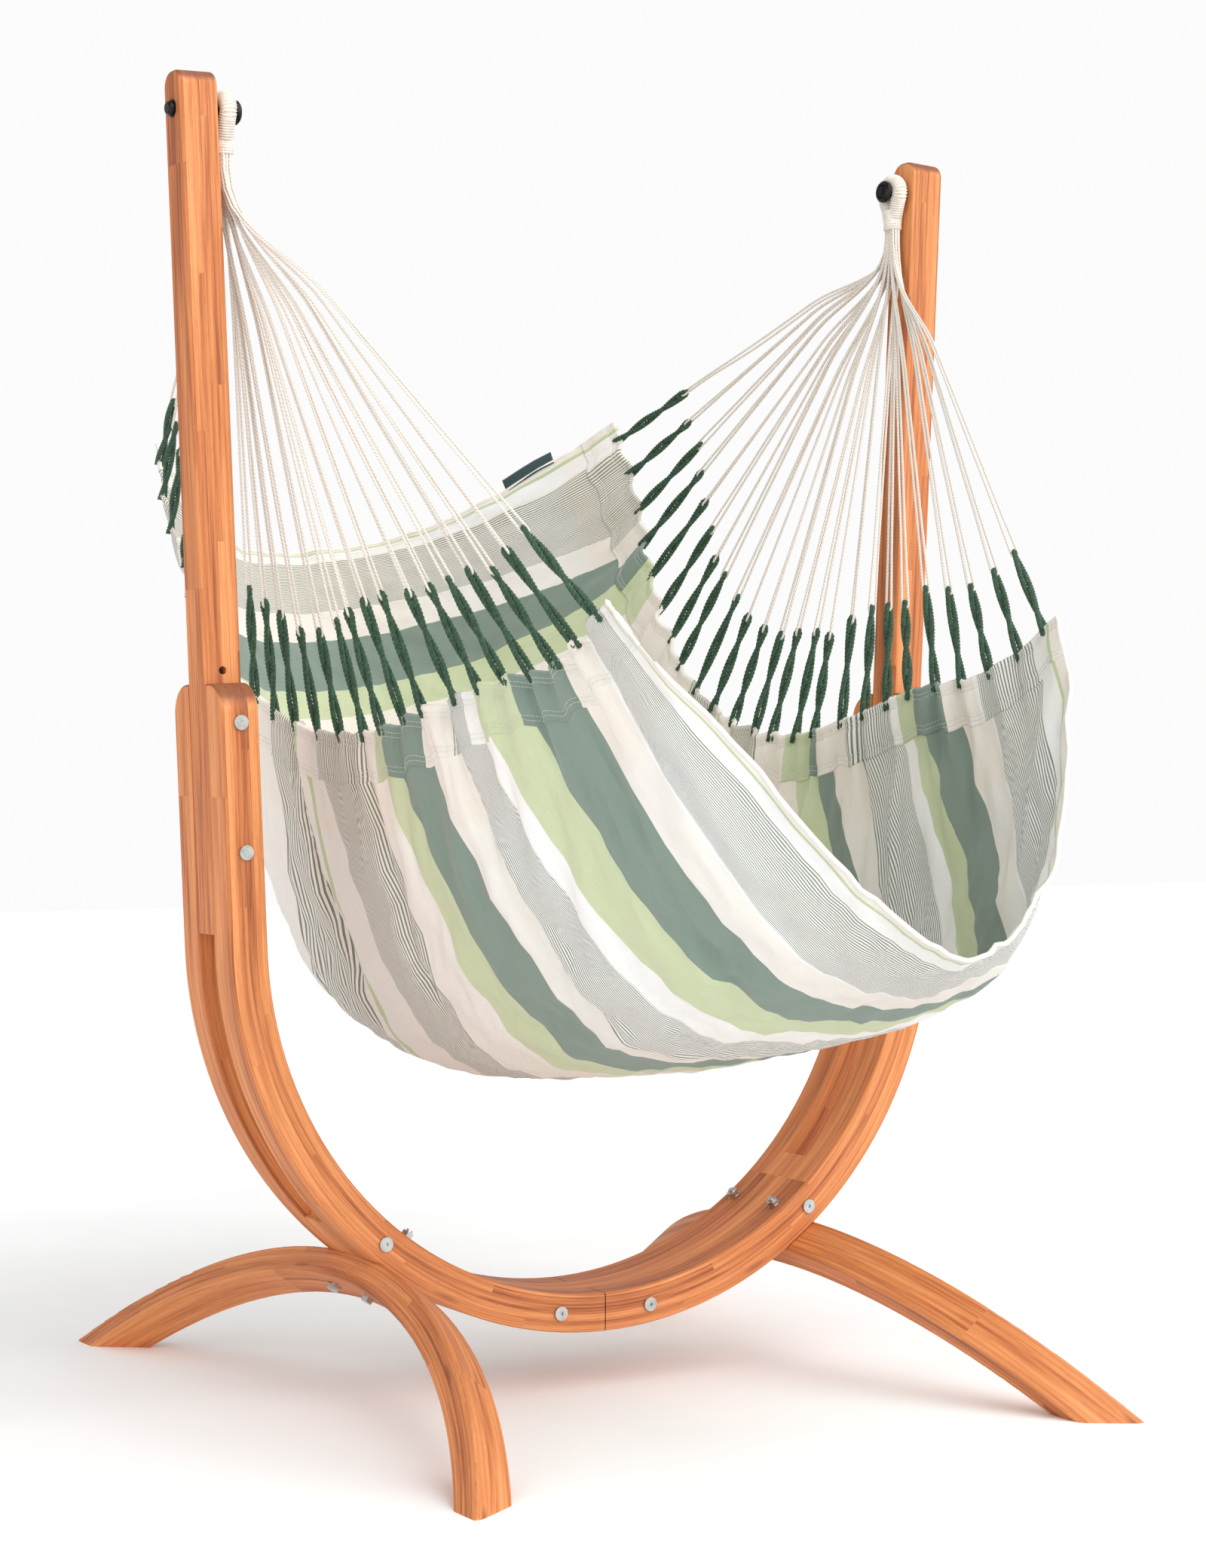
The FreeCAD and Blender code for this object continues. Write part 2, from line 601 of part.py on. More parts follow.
def makeEye(side, name):
    """Wrapped cord eye round the pin, teardrop in outline, drawn to a round neck below."""
    body = doc.addObject("PartDesign::Body", name)
    ring, neck, wide = size("eyeR"), size("neckR"), size("eyeWide")
    waist = 0.62 * size("neckDrop")
    touch = math.atan2(-waist, neck) + math.acos(ring / math.hypot(neck, waist))
    outline = sketchOn(body, name + "Outline", "YZ_Plane")
    circle = Part.Circle(Vector(0, 0, 0), Vector(0, 0, 1), ring)
    arc = outline.addGeometry(Part.ArcOfCircle(circle, touch, math.pi - touch))
    tip = Vector(ring * math.cos(touch), ring * math.sin(touch), 0)
    right = outline.addGeometry(Part.LineSegment(tip, Vector(neck, -waist, 0)))
    base = outline.addGeometry(Part.LineSegment(Vector(neck, -waist, 0), Vector(-neck, -waist, 0)))
    left = outline.addGeometry(Part.LineSegment(Vector(-neck, -waist, 0), Vector(-tip.x, tip.y, 0)))
    add = outline.addConstraint
    add(Sketcher.Constraint("Coincident", arc, 3, -1, 1))
    dimension(outline, "eyeR", "Radius", arc, ring)
    add(Sketcher.Constraint("Tangent", arc, 1, right, 1))
    add(Sketcher.Constraint("Coincident", right, 2, base, 1))
    add(Sketcher.Constraint("Coincident", base, 2, left, 1))
    add(Sketcher.Constraint("Tangent", arc, 2, left, 2))
    add(Sketcher.Constraint("Symmetric", base, 1, base, 2, -2))
    dimension(outline, "2 * neckR", "DistanceX", base, 2, base, 1, 2 * neck)
    dimension(outline, "0.62 * neckDrop", "DistanceY", base, 1, -1, 1, waist)
    pad = body.newObject("PartDesign::Pad", name + "Pad")
    pad.Profile = outline
    pad.Midplane = True
    bind(pad, Length="eyeWide")

    def rimEdge(e):
        return abs(abs(e.CenterOfMass.x) - wide / 2) < 0.1 and e.CenterOfMass.z > -waist + 1

    roundEdges(body, name + "Rim", "eyeWide / 3.2", rimEdge)
    low = Placement(Vector(0, 0, -size("neckDrop")), Rotation())
    round_ = sketchOn(body, name + "NeckCircle", "XY_Plane", low)
    circles(round_, [(0, 0)], "neckR")
    shank = body.newObject("PartDesign::Pad", name + "Neck")
    shank.Profile = round_
    bind(shank, Length="neckDrop - 0.9 * eyeR")
    hole = sketchOn(body, name + "BoreCircle", "YZ_Plane")
    circles(hole, [(0, 0)], "eyeBoreR")
    pocketThrough(body, hole, name + "Bore", 2 * wide)
    body.Placement = Placement(Vector(side * eyeX, 0, eyeZ), Rotation())
    keep(name, body)


# ---------------------------------------------------------------- hammock
# Right half of the cloth's middle surface, front edge first. Each section runs across the
# stripes: at the end hem, part way in, and at the middle between the posts.
hemLine = [(380, -715, 1190), (368, -560, 1110), (372, -390, 1090), (384, -200, 1048), (394, -20, 1020),
           (403, 150, 1034), (415, 305, 1097), (430, 425, 1198), (445, 515, 1325), (453, 580, 1450),
           (450, 635, 1555)]
bellyLine = [(240, -905, 925), (265, -790, 795), (290, -620, 730), (305, -430, 700), (318, -220, 680),
             (325, -10, 668), (328, 200, 680), (325, 395, 748), (315, 550, 890), (300, 685, 1110),
             (285, 840, 1425)]
middleLine = [(0, -1004, 738), (0, -850, 672), (0, -670, 620), (0, -470, 574), (0, -250, 525),
              (0, -20, 492), (0, 220, 489), (0, 450, 560), (0, 650, 740), (0, 840, 1040),
              (0, 996, 1368)]
cornerTilt = 45      # the right back corner hangs this much higher than the mean, the left lower


def tilted(x, y, z):
    """Right side up and left side down, growing toward the back edge."""
    back = max(0.0, (y + 100) / 735) ** 2
    return Vector(x, y, z + cornerTilt * (x / 450) * min(back, 1.0))


def clothSurface():
    grid = []
    for line, sign in ((hemLine, -1), (bellyLine, -1), (middleLine, 1), (bellyLine, 1), (hemLine, 1)):
        grid.append([tilted(sign * x, y, z) for x, y, z in line])
    surface = Part.BSplineSurface()
    surface.interpolate(grid)
    return surface


def feature(name, shape):
    obj = doc.addObject("Part::Feature", name)
    obj.Shape = shape
    obj.Placement = Placement()
    return keep(name, obj)


def makeCloth(surface):
    face = surface.toShape()
    feature("hammock_cloth", face.makeOffsetShape(size("clothThick"), 0.01, fill=True))


def alongHem(surface, side, share):
    """Point on an end hem, share 0 at the front corner and 1 at the back."""
    u0, u1, v0, v1 = surface.bounds()
    return surface.value(u0 if side < 0 else u1, v0 + (v1 - v0) * share)


def neckSpot(side, index):
    """Where a cord leaves the neck: rows of four across, in step with the hem."""
    pitch = 2 * size("cordR") + 0.9
    row, column = divmod(index, 4)
    rows = size("ropeCount") / 4
    across = (column - 1.5) * pitch
    back = (row - (rows - 1) / 2) * pitch
    return Vector(side * eyeX + across, back, eyeZ - size("neckDrop"))


def makeCords(surface, side, name):
    """Straight cords from the neck to the rope loops, and the loops down to the hem."""
    count = int(size("ropeCount"))
    cords = []
    loops = []
    for i in range(count):
        top = neckSpot(side, i)
        hem = alongHem(surface, side, (i + 0.5) / count)
        run = (hem - top).normalize()
        loopTop = hem - run * size("ropeLen")
        cords.append(Part.makeCylinder(size("cordR"), (loopTop - top).Length, top, run))
        loops.append(Part.makeCylinder(size("ropeR"), size("ropeLen") + size("ropeTuck"), loopTop, run))
    feature(name + "_cords", Part.makeCompound(cords))
    feature(name + "_hem_loops", Part.makeCompound(loops))


def makeLabel(surface):
    """Small plain tag that stands up from the back edge, right of the middle."""
    u0, u1, v0, v1 = surface.bounds()
    at = u0 + (u1 - u0) * size("labelShare")
    here = surface.value(at, v1)
    run = (surface.value(at + 0.02, v1) - here).normalize()
    up = (here - surface.value(at, v1 - 0.02)).normalize()
    normal = run.cross(up).normalize()
    up = normal.cross(run)
    tag = Part.makeBox(size("labelWide"), size("labelThick"), size("labelDeep"))
    frame = FreeCAD.Matrix(run.x, -normal.x, up.x, 0, run.y, -normal.y, up.y, 0, run.z, -normal.z, up.z, 0)
    lift = up * size("labelLift")
    obj = feature("side_label", tag)
    obj.Placement = Placement(here + lift, Placement(frame).Rotation)


# ---------------------------------------------------------------- build
sides = ((-1, "left"), (1, "right"))
for side, word in sides:
    makePost(side, word + "_post")
    makeBeam(side, -1, word + "_front_beam")
    makeBeam(side, 1, word + "_back_beam")
    makeFoot(side, word + "_foot")
    posts = [leaning(side, size(a)).Base for a in ("postBoltLow", "postBoltHigh")]
    crossBolts(word + "_post", [(p.x, p.z) for p in posts])
    footBolts(side, word)
    makePin(side, word)
    makeDisc(side, word + "_pin_disc")
    makeEye(side, word + "_eye")
makeBow()
bowPoints = []
for side, _ in sides:
    for degrees in (size("bowBoltInner"), size("bowBoltOuter")):
        spot = radial(side, degrees, loopRadius, 0).Base
        bowPoints.append((spot.x, spot.z))
crossBolts("bow", bowPoints)

cloth = clothSurface()
makeCloth(cloth)
makeLabel(cloth)
for side, word in sides:
    makeCords(cloth, side, word)
doc.recompute()

# ---------------------------------------------------------------- checks and export
for obj in doc.Objects:
    if "Invalid" in obj.State or "Error" in obj.State:
        raise RuntimeError(f"{obj.Label}: {obj.State}")
for name, obj in nodes.items():
    shape = obj.Shape
    if shape.isNull() or not shape.isValid() or not shape.Solids:
        raise RuntimeError(f"{name} is not a valid solid")
    shape.exportStep(f"parts/{name}.step")
    print(f"{name}: {len(shape.Solids)} solids, {shape.Volume / 1000:.1f} cm3")
print(f"the eyes turn about y 0, z {eyeZ:.2f}, at x ±{eyeX:.2f}")
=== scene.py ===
import bpy
import math
import random
import numpy as np
from mathutils import Matrix, Vector


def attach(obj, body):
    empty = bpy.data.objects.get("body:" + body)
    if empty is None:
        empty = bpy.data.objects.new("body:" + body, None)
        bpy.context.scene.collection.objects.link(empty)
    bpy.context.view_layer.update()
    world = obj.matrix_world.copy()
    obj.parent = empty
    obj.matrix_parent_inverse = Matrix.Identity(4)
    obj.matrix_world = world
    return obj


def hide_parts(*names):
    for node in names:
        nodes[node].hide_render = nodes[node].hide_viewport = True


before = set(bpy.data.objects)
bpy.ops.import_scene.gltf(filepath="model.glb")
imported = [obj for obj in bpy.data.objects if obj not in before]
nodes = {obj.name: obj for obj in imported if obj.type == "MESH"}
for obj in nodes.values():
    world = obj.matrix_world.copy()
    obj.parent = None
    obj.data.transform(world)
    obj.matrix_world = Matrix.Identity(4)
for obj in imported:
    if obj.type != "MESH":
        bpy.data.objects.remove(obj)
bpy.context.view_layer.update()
scene = bpy.context.scene
sides = {"left": -1, "right": 1}
print("frame loaded,", len(nodes), "nodes")


# small helpers for meshes

def unit(v):
    v = np.asarray(v, float)
    return v / np.maximum(np.linalg.norm(v, axis=-1, keepdims=True), 1e-9)


def facing(grid):
    # unit normals of a grid of points
    return unit(np.cross(np.gradient(grid, axis=0), np.gradient(grid, axis=1)))


def lengths(points):
    return np.r_[0, np.cumsum(np.linalg.norm(np.diff(points, axis=0), axis=1))]


def readOff(place, places, row):
    return np.array([np.interp(place, places, row[:, k]) for k in range(3)])


def makePiece(name, verts, faces, uvs=None, smooth=True):
    mesh = bpy.data.meshes.new(name)
    mesh.from_pydata([tuple(v) for v in verts], [], faces)
    if uvs is not None:
        layer = mesh.uv_layers.new(name="UVMap")
        layer.data.foreach_set("uv", np.asarray(uvs, np.float32).ravel())
    mesh.update()
    mesh.polygons.foreach_set("use_smooth", [smooth] * len(mesh.polygons))
    piece = bpy.data.objects.new(name, mesh)
    scene.collection.objects.link(piece)
    return piece


def addTube(store, points, radius, around=8):
    # capped tube along the points, uv = metres along, share around
    pts = np.asarray(points, float)
    count = len(pts)
    along = unit(np.gradient(pts, axis=0))
    ref = np.array([0.0, 0.0, 1.0]) if abs(along[0][2]) < 0.9 else np.array([1.0, 0.0, 0.0])
    side = [unit(np.cross(along[0], ref))]
    for i in range(1, count):
        s = side[-1] - np.dot(side[-1], along[i]) * along[i]
        side.append(unit(s))
    side = np.array(side)
    up = np.cross(along, side)
    turn = np.linspace(0, 2 * math.pi, around, endpoint=False)
    r = np.broadcast_to(np.asarray(radius, float), (count,))[:, None, None]
    ring = pts[:, None] + r * (np.cos(turn)[None, :, None] * side[:, None]
                               + np.sin(turn)[None, :, None] * up[:, None])
    reach = lengths(pts)
    verts, faces, uvs = store
    base = len(verts)
    verts.extend(ring.reshape(-1, 3).tolist())
    for i in range(count - 1):
        for k in range(around):
            n = (k + 1) % around
            a = base + i * around
            b = a + around
            faces.append((a + k, a + n, b + n, b + k))
            u0, u1 = k / around, (k + 1) / around
            uvs.extend(((reach[i], u0), (reach[i], u1), (reach[i + 1], u1), (reach[i + 1], u0)))
    faces.append(tuple(base + k for k in reversed(range(around))))
    uvs.extend([(reach[0], 0.5)] * around)
    last = base + (count - 1) * around
    faces.append(tuple(last + k for k in range(around)))
    uvs.extend([(reach[-1], 0.5)] * around)


def closeSheet(grid, uvGrid, thick):
    # thin closed sheet round a grid of points
    grid = np.asarray(grid, float)
    across, along = grid.shape[:2]
    normal = facing(grid)
    both = np.concatenate([(grid + normal * thick / 2).reshape(-1, 3),
                           (grid - normal * thick / 2).reshape(-1, 3)])
    half = across * along
    flat = np.asarray(uvGrid, float).reshape(-1, 2)
    faces = []
    corner = []
    for i in range(across - 1):
        for j in range(along - 1):
            a, b = i * along + j, (i + 1) * along + j
            quad = (a, b, b + 1, a + 1)
            faces.append(quad)
            corner.extend(quad)
            faces.append(tuple(half + q for q in reversed(quad)))
            corner.extend(reversed(quad))
    rim = [i * along for i in range(across)]
    rim += [(across - 1) * along + j for j in range(1, along)]
    rim += [i * along + along - 1 for i in range(across - 2, -1, -1)]
    rim += [j for j in range(along - 2, 0, -1)]
    for k, a in enumerate(rim):
        b = rim[(k + 1) % len(rim)]
        faces.append((b, a, half + a, half + b))
        corner.extend((b, a, a, b))
    return both, faces, flat[corner]


def curveThrough(points, shares):
    # smooth curve through a few points, at shares of its chord length
    p = np.asarray(points, float)
    chord = lengths(p)
    slope = np.gradient(p, chord, axis=0)
    s = np.asarray(shares) * chord[-1]
    k = np.clip(np.searchsorted(chord, s, "right") - 1, 0, len(p) - 2)
    h = (chord[k + 1] - chord[k])[:, None]
    t = (s - chord[k])[:, None] / h
    return ((2 * t ** 3 - 3 * t ** 2 + 1) * p[k] + (t ** 3 - 2 * t ** 2 + t) * h * slope[k]
            + (3 * t ** 2 - 2 * t ** 3) * p[k + 1] + (t ** 3 - t ** 2) * h * slope[k + 1])


def settle(piece, body, material):
    piece.data.materials.clear()
    piece.data.materials.append(material)
    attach(piece, body)
    return piece


# small helpers for shader nodes

def linear(r, g, b):
    tones = [c / 255 / 12.92 if c < 10.3 else ((c / 255 + 0.055) / 1.055) ** 2.4 for c in (r, g, b)]
    return (*tones, 1.0)


class Shader:
    def __init__(self, name, **fixed):
        self.material = bpy.data.materials.new(name)
        self.material.use_nodes = True
        self.tree = self.material.node_tree
        self.tree.nodes.clear()
        out = self.add("ShaderNodeOutputMaterial")
        self.surface = self.add("ShaderNodeBsdfPrincipled")
        self.link(self.surface.outputs[0], out.inputs[0])
        for key, value in fixed.items():
            self.surface.inputs[key.replace("_", " ")].default_value = value

    def add(self, kind, **props):
        node = self.tree.nodes.new(kind)
        for key, value in props.items():
            setattr(node, key, value)
        return node

    def link(self, source, target):
        self.tree.links.new(source, target)

    def feed(self, value, socket):
        if isinstance(value, bpy.types.NodeSocket):
            self.link(value, socket)
        elif value is not None:
            socket.default_value = value

    def math(self, op, a, b=None, clamp=False):
        node = self.add("ShaderNodeMath", operation=op, use_clamp=clamp)
        for value, socket in zip((a, b), node.inputs):
            self.feed(value, socket)
        return node.outputs[0]

    def times(self, a, b, clamp=False):
        return self.math("MULTIPLY", a, b, clamp)

    def plus(self, a, b):
        return self.math("ADD", a, b)

    def minus(self, a, b, clamp=False):
        return self.math("SUBTRACT", a, b, clamp)

    def mix(self, share, a, b, blend="MIX"):
        node = self.add("ShaderNodeMix", data_type="RGBA", blend_type=blend, clamp_factor=True)
        self.feed(share, node.inputs[0])
        self.feed(a, node.inputs[6])
        self.feed(b, node.inputs[7])
        return node.outputs[2]

    def ramp(self, share, stops, constant=False):
        node = self.add("ShaderNodeValToRGB")
        self.feed(share, node.inputs[0])
        band = node.color_ramp
        band.interpolation = "CONSTANT" if constant else "LINEAR"
        while len(band.elements) > 1:
            band.elements.remove(band.elements[-1])
        band.elements[0].position, band.elements[0].color = stops[0]
        for place, colour in stops[1:]:
            band.elements.new(place).color = colour
        return node.outputs[0]

    def vector(self, x, y, z=0.0):
        node = self.add("ShaderNodeCombineXYZ")
        for value, socket in zip((x, y, z), node.inputs):
            self.feed(value, socket)
        return node.outputs[0]

    def split(self, value):
        node = self.add("ShaderNodeSeparateXYZ")
        self.link(value, node.inputs[0])
        return node.outputs[0], node.outputs[1], node.outputs[2]

    def noise(self, where, scale, detail=3.0, rough=0.5, spread=0.0):
        node = self.add("ShaderNodeTexNoise")
        self.link(where, node.inputs["Vector"])
        node.inputs["Scale"].default_value = scale
        node.inputs["Detail"].default_value = detail
        node.inputs["Roughness"].default_value = rough
        node.inputs["Distortion"].default_value = spread
        return node.outputs[0]

    def objectPlace(self):
        return self.add("ShaderNodeTexCoord").outputs["Object"]

    def uv(self):
        return self.split(self.add("ShaderNodeUVMap", uv_map="UVMap").outputs[0])

    def bump(self, height, distance, strength=1.0):
        node = self.add("ShaderNodeBump")
        node.inputs["Strength"].default_value = strength
        node.inputs["Distance"].default_value = distance
        self.link(height, node.inputs["Height"])
        self.link(node.outputs[0], self.surface.inputs["Normal"])

    def finish(self, colour=None, rough=None):
        if colour is not None:
            self.feed(colour, self.surface.inputs["Base Color"])
        if rough is not None:
            self.feed(rough, self.surface.inputs["Roughness"])
        return self.material


# camera, floor and light

studio = {
    "eye": (-2.429, -4.106, 0.986),
    "ahead": (0.51609, 0.85649, -0.00909),
    "up": (0.00268, 0.00899, 0.99996),
    "lens": 69.28,
    "floorTone": (248, 248, 248),
    "skyTone": (255, 255, 255),
    "ambient": 0.60,         # light that the surroundings give
    "backdrop": 0.97,        # how bright they look behind the object
    "keyPower": 2.7,
    "keySoft": 75,           # degrees
    "keyFrom": (1.6, -4.2, 4.4),
    "fillPower": 45,
}


def setStudio():
    ahead = Vector(studio["ahead"]).normalized()
    up = Vector(studio["up"])
    right = ahead.cross(up).normalized()
    up = right.cross(ahead)
    turn = Matrix((right, up, -ahead)).transposed().to_4x4()
    lens = bpy.data.cameras.new("camera")
    lens.lens = studio["lens"]
    lens.clip_end = 60
    camera = bpy.data.objects.new("camera", lens)
    camera.matrix_world = Matrix.Translation(studio["eye"]) @ turn
    scene.collection.objects.link(camera)
    scene.camera = camera

    floorPaint = Shader("pale_floor", Roughness=0.85)
    grain = floorPaint.noise(floorPaint.objectPlace(), 3.0)
    tone = floorPaint.ramp(grain, [(0.3, linear(*studio["floorTone"])), (0.7, linear(252, 252, 252))])
    reach = 14
    corners = [(-reach, -reach, 0), (reach, -reach, 0), (reach, reach, 0), (-reach, reach, 0)]
    floor = makePiece("studio_floor", corners, [(0, 1, 2, 3)])
    floor.data.materials.append(floorPaint.finish(tone))

    world = bpy.data.worlds.new("studio")
    world.use_nodes = True
    back = world.node_tree.nodes["Background"]
    back.inputs[0].default_value = linear(*studio["skyTone"])
    path = world.node_tree.nodes.new("ShaderNodeLightPath")
    level = world.node_tree.nodes.new("ShaderNodeMapRange")
    level.inputs["To Min"].default_value = studio["ambient"]
    level.inputs["To Max"].default_value = studio["backdrop"]
    world.node_tree.links.new(path.outputs["Is Camera Ray"], level.inputs["Value"])
    world.node_tree.links.new(level.outputs[0], back.inputs[1])
    scene.world = world
    scene.view_settings.view_transform = "Standard"

    def aim(name, glow, place):
        lamp = bpy.data.objects.new(name, glow)
        lamp.location = place
        lamp.rotation_euler = (Vector((0, 0, 0.9)) - Vector(place)).to_track_quat("-Z", "Y").to_euler()
        scene.collection.objects.link(lamp)

    key = bpy.data.lights.new("key", "SUN")
    key.energy = studio["keyPower"]
    key.angle = math.radians(studio["keySoft"])
    aim("key", key, studio["keyFrom"])
    fill = bpy.data.lights.new("fill", "AREA")
    fill.size = 3.0
    fill.energy = studio["fillPower"]
    aim("fill", fill, (-4.5, -2.0, 2.2))


setStudio()
print("camera and light set")


# timber

timber = {
    "loopHeight": 0.726,     # centre of the round loop
    "loopRadius": 0.606,
    "lean": 2.6,             # degrees
    "footTilt": 35.8,
    "footRadius": 1.0,
    "footSeat": 0.631,
    "lamella": 0.0125,
    "light": (230, 152, 94),
    "middle": (202, 121, 69),
    "dark": (146, 76, 41),
    "endGrain": (116, 66, 44),
}


def timberMaterial(name, kind, seed):
    s = Shader(name, Roughness=0.5, Specular_IOR_Level=0.38)
    x, y, z = s.split(s.objectPlace())
    ax = s.math("ABSOLUTE", x)
    rise = s.minus(z, timber["loopHeight"])
    lean = math.radians(timber["lean"])
    sinLean, cosLean = math.sin(lean), math.cos(lean)
    straightAlong = s.plus(s.times(ax, sinLean), s.times(rise, cosLean))
    straightAcross = s.minus(s.times(ax, cosLean), s.times(rise, sinLean))
    if kind == "post":
        along, across, depth = straightAlong, s.minus(straightAcross, timber["loopRadius"]), y
    elif kind == "beam":
        angle = s.math("ARCTAN2", ax, s.times(rise, -1.0))
        reach = s.math("SQRT", s.plus(s.times(ax, ax), s.times(rise, rise)))
        high = s.math("GREATER_THAN", straightAlong, 0.0)
        low = s.minus(1.0, high)
        arc = s.times(angle, timber["loopRadius"])
        top = s.plus(straightAlong, timber["loopRadius"] * (math.pi / 2 - lean))
        along = s.plus(s.times(arc, low), s.times(top, high))
        across = s.plus(s.times(reach, low), s.times(straightAcross, high))
        across, depth = s.minus(across, timber["loopRadius"]), y
    else:
        a = math.radians(timber["footTilt"])
        far = timber["footSeat"] + timber["footRadius"]
        px = s.minus(ax, math.sin(a) * far)
        pz = s.minus(z, timber["loopHeight"] - math.cos(a) * far)
        height = s.plus(s.times(px, -math.sin(a)), s.times(pz, math.cos(a)))
        depth = s.plus(s.times(px, math.cos(a)), s.times(pz, math.sin(a)))
        along = s.math("ARCTAN2", y, height)
        reach = s.math("SQRT", s.plus(s.times(y, y), s.times(height, height)))
        across = s.minus(reach, timber["footRadius"] - 0.023)
    wander = s.noise(s.vector(s.times(along, 2.0), s.times(depth, 6.0), seed), 1.0, 2.0)
    shifted = s.plus(across, s.times(s.minus(wander, 0.5), 0.004))
    layer = s.math("DIVIDE", s.plus(shifted, 0.25), timber["lamella"])
    layerNumber = s.math("FLOOR", layer)
    inLayer = s.math("FRACT", layer)
    stave = s.math("FLOOR", s.plus(s.math("DIVIDE", along, 0.62), s.times(layerNumber, 0.37)))
    pick = s.add("ShaderNodeTexWhiteNoise", noise_dimensions="3D")
    s.link(s.vector(layerNumber, s.plus(stave, seed)), pick.inputs["Vector"])
    tone = pick.outputs["Value"]
    # long fibres, wavy rings and short dark pores
    inward = s.plus(s.times(depth, 210.0), s.times(tone, 30.0))
    fibre = s.noise(s.vector(s.times(along, 5.0), s.times(shifted, 210.0), inward), 1.0, 5.0, 0.62)
    inward = s.plus(s.times(depth, 40.0), s.times(tone, 19.0))
    ring = s.noise(s.vector(s.times(along, 1.6), s.times(shifted, 55.0), inward), 1.0, 3.0, 0.55, 0.6)
    inward = s.times(depth, 900.0)
    pore = s.noise(s.vector(s.times(along, 55.0), s.times(shifted, 900.0), inward), 1.0, 2.0)
    pores = s.times(s.minus(pore, 0.60, clamp=True), 4.0, clamp=True)
    grain = s.plus(s.times(fibre, 0.55), s.times(ring, 0.45))
    shade = s.plus(grain, s.times(s.minus(tone, 0.5), 0.13))
    colour = s.ramp(shade, [(0.34, linear(*timber["dark"])), (0.48, linear(*timber["middle"])),
                            (0.63, linear(*timber["light"]))])
    colour = s.mix(s.times(pores, 0.42), colour, linear(120, 66, 36))
    # glue lines between the layers
    edge = s.math("ABSOLUTE", s.minus(inLayer, 0.5))
    glue = s.times(s.minus(edge, 0.47, clamp=True), 34.0, clamp=True)
    colour = s.mix(s.times(glue, 0.38), colour, linear(116, 62, 34))
    # a few small knots
    cells = s.add("ShaderNodeTexVoronoi")
    inward = s.plus(s.times(depth, 17.0), seed)
    s.link(s.vector(s.times(along, 3.1), s.times(shifted, 17.0), inward), cells.inputs["Vector"])
    cells.inputs["Scale"].default_value = 1.0
    knot = s.minus(1.0, s.math("DIVIDE", cells.outputs["Distance"], 0.10), clamp=True)
    colour = s.mix(s.times(knot, 0.75), colour, linear(84, 44, 26))
    # cut ends show darker
    if kind in ("post", "beam"):
        face = s.split(s.add("ShaderNodeTexCoord").outputs["Normal"])[2]
        ends = s.times(s.minus(face, 0.25, clamp=True), 3.0, clamp=True)
        ends = s.times(ends, s.math("GREATER_THAN", z, 1.04))
        dots = s.noise(s.objectPlace(), 900.0, 2.0)
        endTone = s.ramp(dots, [(0.35, linear(*timber["endGrain"])), (0.7, linear(146, 88, 58))])
        colour = s.mix(s.times(ends, 0.85), colour, endTone)
    height = s.minus(s.times(fibre, 0.5), s.plus(pores, s.times(glue, 1.2)))
    s.bump(height, 0.0004, 0.7)
    rough = s.plus(0.40, s.times(fibre, 0.22))
    return s.finish(colour, rough)


def steelMaterial(name, tone, rough, scratch):
    s = Shader(name, Metallic=1.0)
    where = s.objectPlace()
    wide = s.noise(where, 60.0, 3.0)
    fine = s.noise(where, 1400.0, 2.0)
    colour = s.ramp(wide, [(0.3, linear(*[c * 0.86 for c in tone])), (0.7, linear(*tone))])
    s.bump(fine, 0.00012, scratch)
    return s.finish(colour, s.plus(rough, s.times(wide, 0.16)))


postWood = timberMaterial("eucalyptus_post", "post", 3.1)
beamWood = timberMaterial("eucalyptus_beam", "beam", 7.7)
bowWood = timberMaterial("eucalyptus_bow", "beam", 12.4)
footWood = timberMaterial("eucalyptus_foot", "foot", 18.9)
brightSteel = steelMaterial("bright_steel", (206, 206, 203), 0.14, 0.4)
blackSteel = steelMaterial("black_steel", (52, 50, 50), 0.24, 0.4)
finishes = {
    "post": postWood, "front_beam": beamWood, "back_beam": beamWood, "foot": footWood,
    "post_bolts": brightSteel, "post_nuts": brightSteel, "foot_bolts": brightSteel,
    "foot_nuts": brightSteel, "foot_washers": brightSteel,
    "pin": blackSteel, "pin_washer": blackSteel, "pin_disc": blackSteel,
}
for word in sides:
    for part, material in finishes.items():
        for slot in nodes[f"{word}_{part}"].material_slots:
            slot.material = material
for part, material in (("centre_bow", bowWood), ("bow_bolts", brightSteel), ("bow_nuts", brightSteel)):
    for slot in nodes[part].material_slots:
        slot.material = material
print("timber and steel finished")


# cloth

